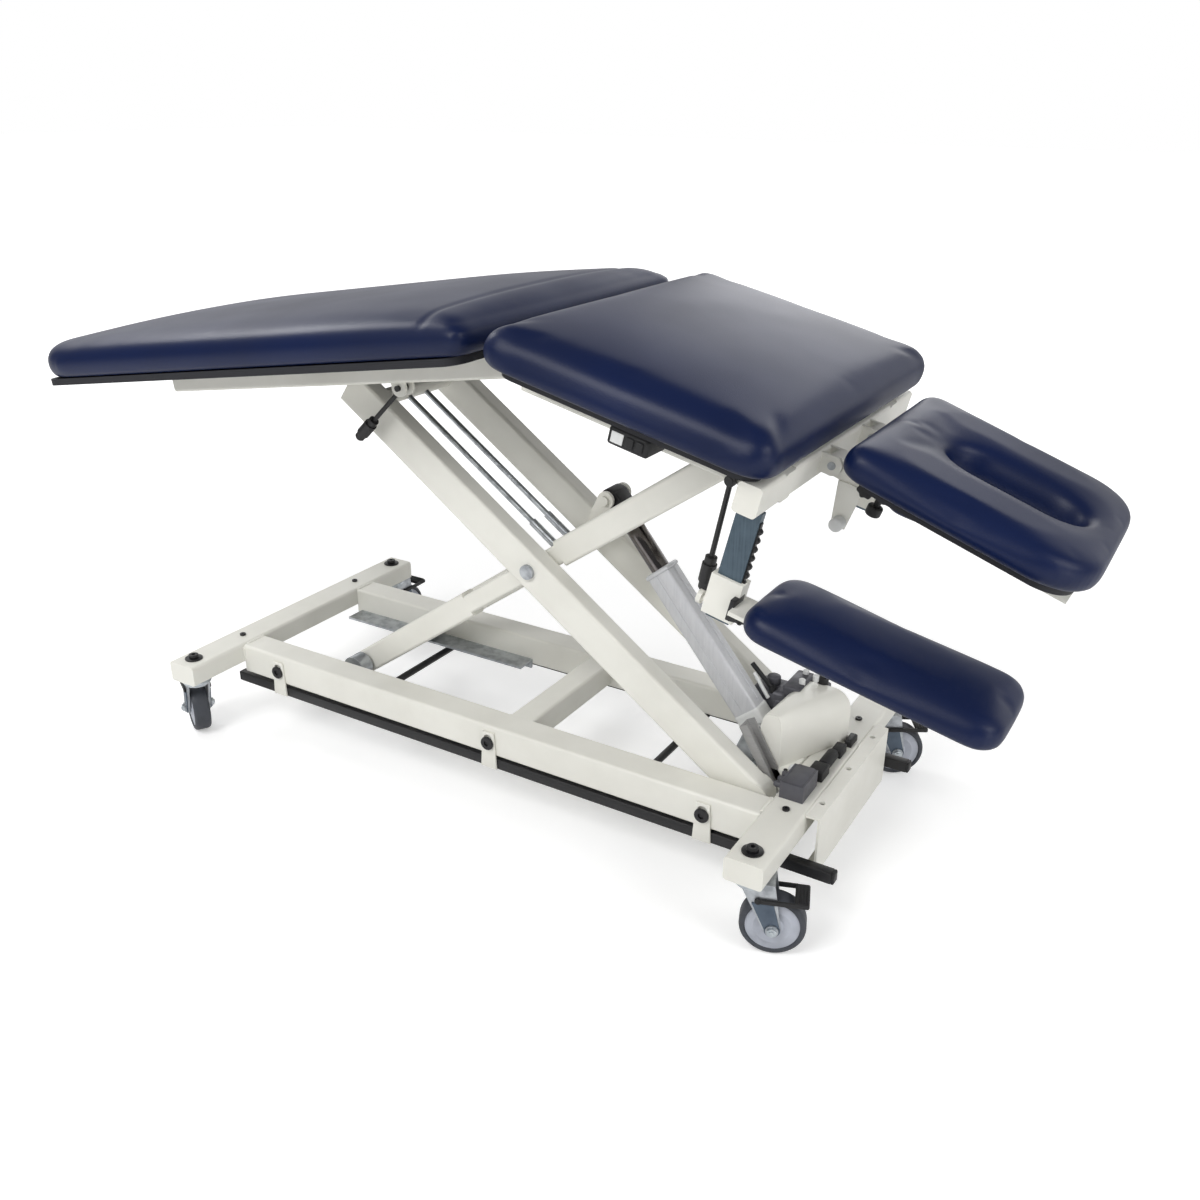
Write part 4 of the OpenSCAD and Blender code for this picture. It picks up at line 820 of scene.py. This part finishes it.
# Foot bars: black square tube with moulded plugs and round cross rods, hung on the rails by
# slotted sheet hangers in the frame's off-white coat
def hanger_form():
    """A tapered sheet with a long slot for the shoulder bolt."""
    o = block("bar_hanger", (-0.017, 0.1973, 0.0845), (0.017, 0.2013, 0.1570))
    choose(o, lambda p, n: n.z > 0.9)
    bpy.ops.transform.resize(value=(0.72, 1, 1), center_override=(0, 0.2, 0.157))
    done()
    ease(o, 0.0012, 2)
    cut(o, ease(block("bar_slot", (-0.0083, 0.19, 0.1240), (0.0083, 0.21, 0.1520)), 0.0075, 8))
    return o


hangers = []
for way in (-1, 1):
    for x in guide_at:
        o = hanger_form()
        o.matrix_world = Matrix.Translation((x, 0, 0)) @ Matrix.Rotation(0 if way > 0 else pi, 4, "Z")
        set_in_mesh(o)
        hangers.append(o)
settle(joined("bar_hangers", hangers), cream_coat, "foot_bar", smooth=30)
bars, bar_y, foot_end, head_end = [], 0.188, -0.585, 0.690
for way in (-1, 1):
    bar = block("bar", (foot_end, way * bar_y - 0.009, 0.084), (head_end, way * bar_y + 0.009, 0.104))
    bars.append(ease(bar, 0.0016, 3))
for x in (-0.300, 0.300):
    bars.append(rod("bar_cross_rod", (x, -0.180, 0.094), (x, 0.180, 0.094), 0.007))
bars = settle(joined("foot_bars", bars), black_coat, "foot_bar", smooth=30)
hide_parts("foot_bar")
for way in (-1, 1):
    for x, out in ((foot_end, -1), (head_end, 1)):
        y, tip = way * bar_y, x + out * 0.004
        plug = block("bar_plug", (min(x, tip), y - 0.0085, 0.0845), (max(x, tip), y + 0.0085, 0.1035))
        push(plug, lambda p, n: n.x * out > 0.9, 0.002, 0.001)
        ease(plug, 0.001, 2)
        settle(plug, black_plastic, "foot_bar")


# Actuator: a drawn aluminium case with grooves down its faces and a cast end, a dark chrome rod
# that ends in a clevis between the ears of the link arms' tie
anodised = finish_of("clear_anodised", metal_group, (212, 213, 216), (184, 185, 190), Cloud=20.0,
                     Amount=0.4, Streak=(300, 300, 14), Depth=0.04, Rough=0.38, Spread=0.12, metallic=0.2)
chrome = finish_of("dark_chrome", metal_group, (128, 124, 124), (84, 76, 70), Cloud=14.0, Amount=0.5,
                   Streak=(200, 200, 10), Depth=0.01, Rough=0.12, Spread=0.08, metallic=1.0)
on_actuator = turned(0.480, 0.202, -129.25)
case = ease(block("actuator_case", (0.030, -0.019, -0.0245), (0.318, 0.019, 0.0245)), 0.005, 4)
for way in (-1, 1):
    y, z = way * 0.019, way * 0.0245
    cut(case, block("groove", (0.046, y - 0.0012, -0.0035), (0.330, y + 0.0012, 0.0035)))
    cut(case, block("groove", (0.046, -0.0035, z - 0.0012), (0.330, 0.0035, z + 0.0012)))
wiper = block("actuator_wiper", (0.316, -0.0200, -0.0255), (0.3225, 0.0200, 0.0255))
push(wiper, lambda p, n: n.x > 0.9, 0.003, 0.0015)
ease(wiper, 0.002, 3)
foot = ease(block("actuator_foot", (0.008, -0.0205, -0.026), (0.040, 0.0205, 0.026)), 0.006, 4)
eye = ease(rod("actuator_eye", (0, -0.019, 0), (0, 0.019, 0), 0.017, 40), 0.0015, 3)
settle(joined("actuator_case", [case, wiper]), anodised, "actuator_tube", on_actuator)
settle(joined("actuator_foot", [foot, eye]), pale_plastic, "actuator_tube", on_actuator)
pin = rod("actuator_pin", (0, -0.040, 0), (0, 0.040, 0), 0.008, 32)
push(pin, lambda p, n: abs(n.y) > 0.9, 0.0015, 0.001)
ease(pin, 0.0005, 1)
pin = settle(pin, zinc, "actuator_tube", on_actuator)
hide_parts("actuator_tube")
shank = ease(rod("actuator_rod", (0.190, 0, 0), (0.452, 0, 0), 0.017, 48), 0.001, 2)
settle(shank, chrome, "actuator_rod", on_actuator, 30)
clevis = block("rod_clevis", (0.436, -0.020, -0.0175), (0.474, 0.020, 0.0175))
push(clevis, lambda p, n: n.x < -0.9, 0.003, 0.004)
ease(clevis, 0.003, 3)
knuckle = ease(rod("clevis_eye", (0.4713, -0.019, 0), (0.4713, 0.019, 0), 0.0165, 40), 0.0015, 3)
clevis = settle(joined("rod_clevis", [clevis, knuckle]), black_plastic, "actuator_rod",
                on_actuator)
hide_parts("actuator_rod")


# Strut under the seat: a black gas cylinder with a turned collar at its open end, where the
# plated rod comes out
on_strut = turned(0.4439411, 0.6421712, -146.968)
collar = rod("strut_collar", (0.158, 0, 0), (0.177, 0, 0), 0.0135, 40)
push(collar, lambda p, n: n.x > 0.9, 0.0025, 0.0015)
ease(collar, 0.001, 2)
settle(collar, black_coat, "strut_cylinder", on_strut, 30)
coat_nodes(black_coat, "strut_cylinder")


# Release levers: thin black steel rods bent from a pin, each with a soft swollen grip that is
# pushed over its end
def grip_form(name, length):
    """A round grip that swells towards its end."""
    o = rod(name, (0, 0, -length - 0.001), (0, 0, -length + 0.050), 0.0095, 32)
    edit(o, "VERT")
    for at in (0.014, 0.034):
        bpy.ops.mesh.select_all(action="SELECT")
        bpy.ops.mesh.bisect(plane_co=(0, 0, -length + at), plane_no=(0, 0, 1))
    done()
    for at, size in ((0.014, 1.25), (0.034, 1.05), (0.050, 0.6), (-0.001, 0.62)):
        choose_points(o, lambda p: abs(p.z + length - at) < 0.0005)
        bpy.ops.transform.resize(value=(size, size, 1), center_override=(0, 0, 0))
        done()
    ease(o, 0.002, 2, 50)
    modify(o, "SUBSURF", levels=2, render_levels=2)
    return o


for name, body, place, angle, length, node in (
        ("leg", "leg_lever", on_leg @ Matrix.Translation((-0.274, -0.163, -0.031)), 55, 0.146, "leg_lever"),
        ("head", "head_lever", on_seat @ Matrix.Translation((0.042, -0.246, 0.0095)), -2, 0.168,
         "head_lever")):
    grip = grip_form(name + "_lever_grip", length)
    settle(grip, black_plastic, body, place @ Matrix.Rotation(radians(angle), 4, "Y"), 60)
    coat_nodes(black_coat, node)


# Hand switch under the seat's near edge: a black moulded case with a blank plate and two rockers,
# screwed up against the board
case = block("switch_case", (-0.120, -0.318, 0.0195), (-0.056, -0.264, 0.0455))
push(case, lambda p, n: n.y < -0.9, 0.003, 0.0015)
ease(case, 0.003, 3)
rockers = []
for u in (-0.084, -0.069):
    r = block("rocker", (u - 0.006, -0.3215, 0.026), (u + 0.006, -0.3185, 0.040))
    push(r, lambda p, n: n.y < -0.9, 0.0015, 0.001)
    rockers.append(ease(r, 0.0008, 2))
case = settle(joined("switch_case", [case] + rockers), black_plastic, "seat_section",
              on_seat)
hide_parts("hand_switch")
plate = ease(block("switch_plate", (-0.114, -0.3206, 0.0245), (-0.095, -0.3190, 0.0405)), 0.0006, 2)
settle(plate, pale_plastic, "seat_section", on_seat)


# Clamping knob on the near head beam: a lobed knob of black plastic, moulded on a steel stem that
# is screwed into the beam
knob_x, lobes = 0.062, 7
knob = rod("clamp_knob", (knob_x, -0.1075, 0), (knob_x, -0.1215, 0), 0.013, 42)
for v in knob.data.vertices:
    grow = 1 + 0.09 * cos(lobes * atan2(v.co.z, v.co.x - knob_x))
    v.co.x, v.co.z = knob_x + (v.co.x - knob_x) * grow, v.co.z * grow
push(knob, lambda p, n: n.y < -0.9, 0.003, 0.0012)
ease(knob, 0.0014, 3, 40)
stem = rod("clamp_stem", (knob_x, -0.1003, 0), (knob_x, -0.1095, 0), 0.0065, 28)
push(stem, lambda p, n: n.y > 0.9, 0.001, 0)
ease(stem, 0.0004, 1)
knob = settle(joined("clamp_knob", [knob, stem]), black_plastic, "head_knob", on_head)
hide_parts("head_knob")


# Lower fittings of the face section: a folded cream lug with a pale turned cap, and a black wing
# knob on a stem under the near beam
lug = block("head_lug", (0.146, -0.1040, -0.054), (0.186, -0.1005, 0.014))
choose(lug, lambda p, n: n.z < -0.9)
bpy.ops.transform.resize(value=(0.55, 1, 1), center_override=(0.168, -0.102, -0.054))
done()
ease(lug, 0.001, 2)
settle(lug, cream_coat, "seat_section", on_seat)
cap = rod("lug_cap", (0.168, -0.1035, -0.0446), (0.168, -0.1230, -0.0446), 0.0105, 36)
push(cap, lambda p, n: n.y < -0.9, 0.003, 0.0015)
ease(cap, 0.0018, 3)
settle(cap, pale_plastic, "seat_section", on_seat)
wing = rod("wing_knob", (0.079, -0.085, -0.029), (0.079, -0.085, -0.043), 0.0115, 36)
push(wing, lambda p, n: n.z < -0.9, 0.003, 0.0015)
ease(wing, 0.002, 3)
stem = rod("wing_stem", (0.079, -0.085, -0.0145), (0.079, -0.085, -0.030), 0.005, 24)
screw = socket_screw("beam_screw", (0.088, -0.1002, 0.003), (0, -1, 0), 0.0048, 0.003)
settle(joined("wing_knob", [wing, stem, screw]), black_plastic, "head_section", on_head)


# Armrest posts of blue grey steel with their toothed ratchet strips, and the black brackets that
# are screwed between the sleeves and the armrest cushions
blue_steel = finish_of("blue_grey_steel", metal_group, (84, 100, 112), (52, 64, 74), Cloud=24.0,
                       Amount=0.6, Streak=(400, 400, 16), Depth=0.04, Rough=0.3, Spread=0.2, metallic=0.5)
coat_nodes(blue_steel, "arm_posts")


def ratchet_form():
    """The toothed black strip down a post's head side, in which the sleeve's catch drops."""
    strip = ease(block("ratchet", (0.1125, -0.004, -0.168), (0.1150, 0.004, -0.012)), 0.0005, 1)
    tooth = block("tooth", (0.1145, -0.004, -0.164), (0.1185, 0.004, -0.155))
    choose(tooth, lambda p, n: n.x > 0.9)
    bpy.ops.transform.resize(value=(1, 1, 0.4), center_override=(0.1185, 0, -0.162))
    done()
    ease(tooth, 0.0005, 2)
    modify(tooth, "ARRAY", count=11, use_relative_offset=False, use_constant_offset=True,
           constant_offset_displace=(0, 0, 0.0135))
    return joined("ratchet", [strip, tooth])


def bracket_form(way):
    """The black corner bracket and its screw between the sleeve and the cushion."""
    foot_end = block("pad_bracket", (0.112, -0.016, -0.1545), (0.120, 0.016, -0.122))
    shelf = block("pad_shelf", (0.118, -0.016, -0.1545), (0.170, 0.016, -0.1375))
    choose(shelf, lambda p, n: n.x > 0.9)
    bpy.ops.transform.resize(value=(1, 1, 0.3), center_override=(0.170, 0, -0.1375))
    done()
    for o in (foot_end, shelf):
        ease(o, 0.0012, 2)
    stud = socket_screw("bracket_screw", (0.134, way * 0.016, -0.147), (0, way, 0), 0.0045, 0.003)
    return joined("pad_bracket", [foot_end, shelf, stud])


for side, way in (("near", -1), ("far", 1)):
    place = on_seat @ Matrix.Translation((0, way * 0.283, 0))
    settle(ratchet_form(), black_coat, "seat_section", place, 30)
    place = on_seat @ Matrix.Translation((0, way * arm_y, 0))
    settle(bracket_form(way), black_coat, side + "_armrest", place)


# Stage: a pale floor and world that the camera sees as white, five soft lamps and the camera of
# the picture
clear()
bpy.ops.mesh.primitive_plane_add(size=60, location=(0, 0, -0.0005))
floor = started("floor")
m = bpy.data.materials.new("pale_floor")
m.use_nodes = True
t = m.node_tree
shader = t.nodes["Principled BSDF"]
shader.inputs["Base Color"].default_value = (0.86, 0.86, 0.86, 1)
shader.inputs["Roughness"].default_value = 0.9
shader.inputs["Emission Color"].default_value = (1, 1, 1, 1)


def ray_share(tree, glossy):
    """1 for what the camera sees itself or through glass, and the given share in reflections."""
    rays = add_node(tree, "LightPath")
    mirrored = add_node(tree, "Math", {0: rays.outputs["Is Glossy Ray"]}, operation="MULTIPLY")
    mirrored.inputs[1].default_value = glossy
    last = mirrored
    for kind in ("Is Camera Ray", "Is Transmission Ray"):
        last = add_node(tree, "Math", {0: last.outputs[0], 1: rays.outputs[kind]}, operation="MAXIMUM")
    return last.outputs[0], mirrored.outputs[0]


share, mirrored = ray_share(t, 0.15)
away = add_node(t, "VectorMath", {0: add_node(t, "TexCoord").outputs["Object"]}, operation="LENGTH")
fade = add_node(t, "MapRange", {"Value": away.outputs["Value"]}, From_Min=1.2, From_Max=4.0, To_Min=0.34,
                To_Max=0.8)
glow = add_node(t, "Math", {0: share, 1: fade.outputs["Result"]}, operation="MULTIPLY")
t.links.new(glow.outputs[0], shader.inputs["Emission Strength"])
floor.data.materials.append(m)
floor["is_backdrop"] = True

world = bpy.data.worlds.new("studio")
bpy.context.scene.world = world
world.use_nodes = True
t = world.node_tree
back = t.nodes["Background"]
back.inputs["Color"].default_value = (1, 1, 1, 1)
share, mirrored = ray_share(t, 1.0)
sky = add_node(t, "TexCoord").outputs["Generated"]
facing = add_node(t, "VectorMath", {0: sky}, operation="DOT_PRODUCT")
facing.inputs[1].default_value = (-0.3, 0.95, 0)
wall = add_node(t, "MapRange", {"Value": facing.outputs["Value"]}, interpolation_type="SMOOTHSTEP",
                From_Min=0.2, From_Max=0.8)
parts = add_node(t, "SeparateXYZ", {0: sky})
top = add_node(t, "MapRange", {"Value": parts.outputs["Z"]}, interpolation_type="SMOOTHSTEP",
               From_Min=0.38, From_Max=0.58, To_Min=1, To_Max=0)
screen = add_node(t, "Math", {0: wall.outputs["Result"], 1: top.outputs["Result"]}, operation="MULTIPLY")
dim = add_node(t, "MapRange", {"Value": screen.outputs[0]}, To_Min=0.13)
seen = add_node(t, "Mix", {"Factor": mirrored, "B": dim.outputs["Result"]}, data_type="FLOAT", A=1.0)
level = add_node(t, "Mix", {"Factor": share, "B": seen.outputs["Result"]}, data_type="FLOAT", A=0.52)
t.links.new(level.outputs["Result"], back.inputs["Strength"])


def lamp(name, place, aim, size, power):
    """A soft square lamp that looks at a point."""
    data = bpy.data.lights.new(name, "AREA")
    data.size = size
    data.energy = power
    o = bpy.data.objects.new(name, data)
    bpy.context.scene.collection.objects.link(o)
    o.location = place
    o.rotation_euler = (Vector(aim) - Vector(place)).to_track_quat("-Z", "Y").to_euler()
    o.visible_camera = False


lamp("key_lamp", (-0.6, -3.2, 3.4), (0.1, 0, 0.5), 2.2, 95)
lamp("head_lamp", (3.6, -0.6, 2.4), (0.2, 0, 0.5), 1.8, 40)
lamp("back_lamp", (-0.6, 4.6, 1.8), (0.4, 0, 0.8), 2.2, 26)
lamp("foot_lamp", (-3.2, 0.5, 3.0), (-0.4, 0, 0.8), 1.1, 34)
lamp("corner_lamp", (2.7, -1.0, 0.55), (0.8, -0.2, 0.7), 0.4, 4)

eye = bpy.data.cameras.new("picture_camera")
eye.lens = 36 * 1152.29 / 1200
eye.sensor_width = 36
eye.clip_end = 200
camera = bpy.data.objects.new("picture_camera", eye)
bpy.context.scene.collection.objects.link(camera)
yaw, pitch, roll = 0.538097, 0.415253, -0.009769
camera.matrix_world = (Matrix.Translation((1.12451, -1.62481, 1.19897)) @ Matrix.Rotation(yaw, 4, "Z")
                       @ Matrix.Rotation(pi / 2 - pitch, 4, "X") @ Matrix.Rotation(-roll, 4, "Z"))
bpy.context.scene.camera = camera
bpy.context.scene.view_settings.view_transform = "Standard"

# Sizes of the solids and of the dressed table: the bounds of all that is rendered but the floor
bpy.context.view_layer.update()
low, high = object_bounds()
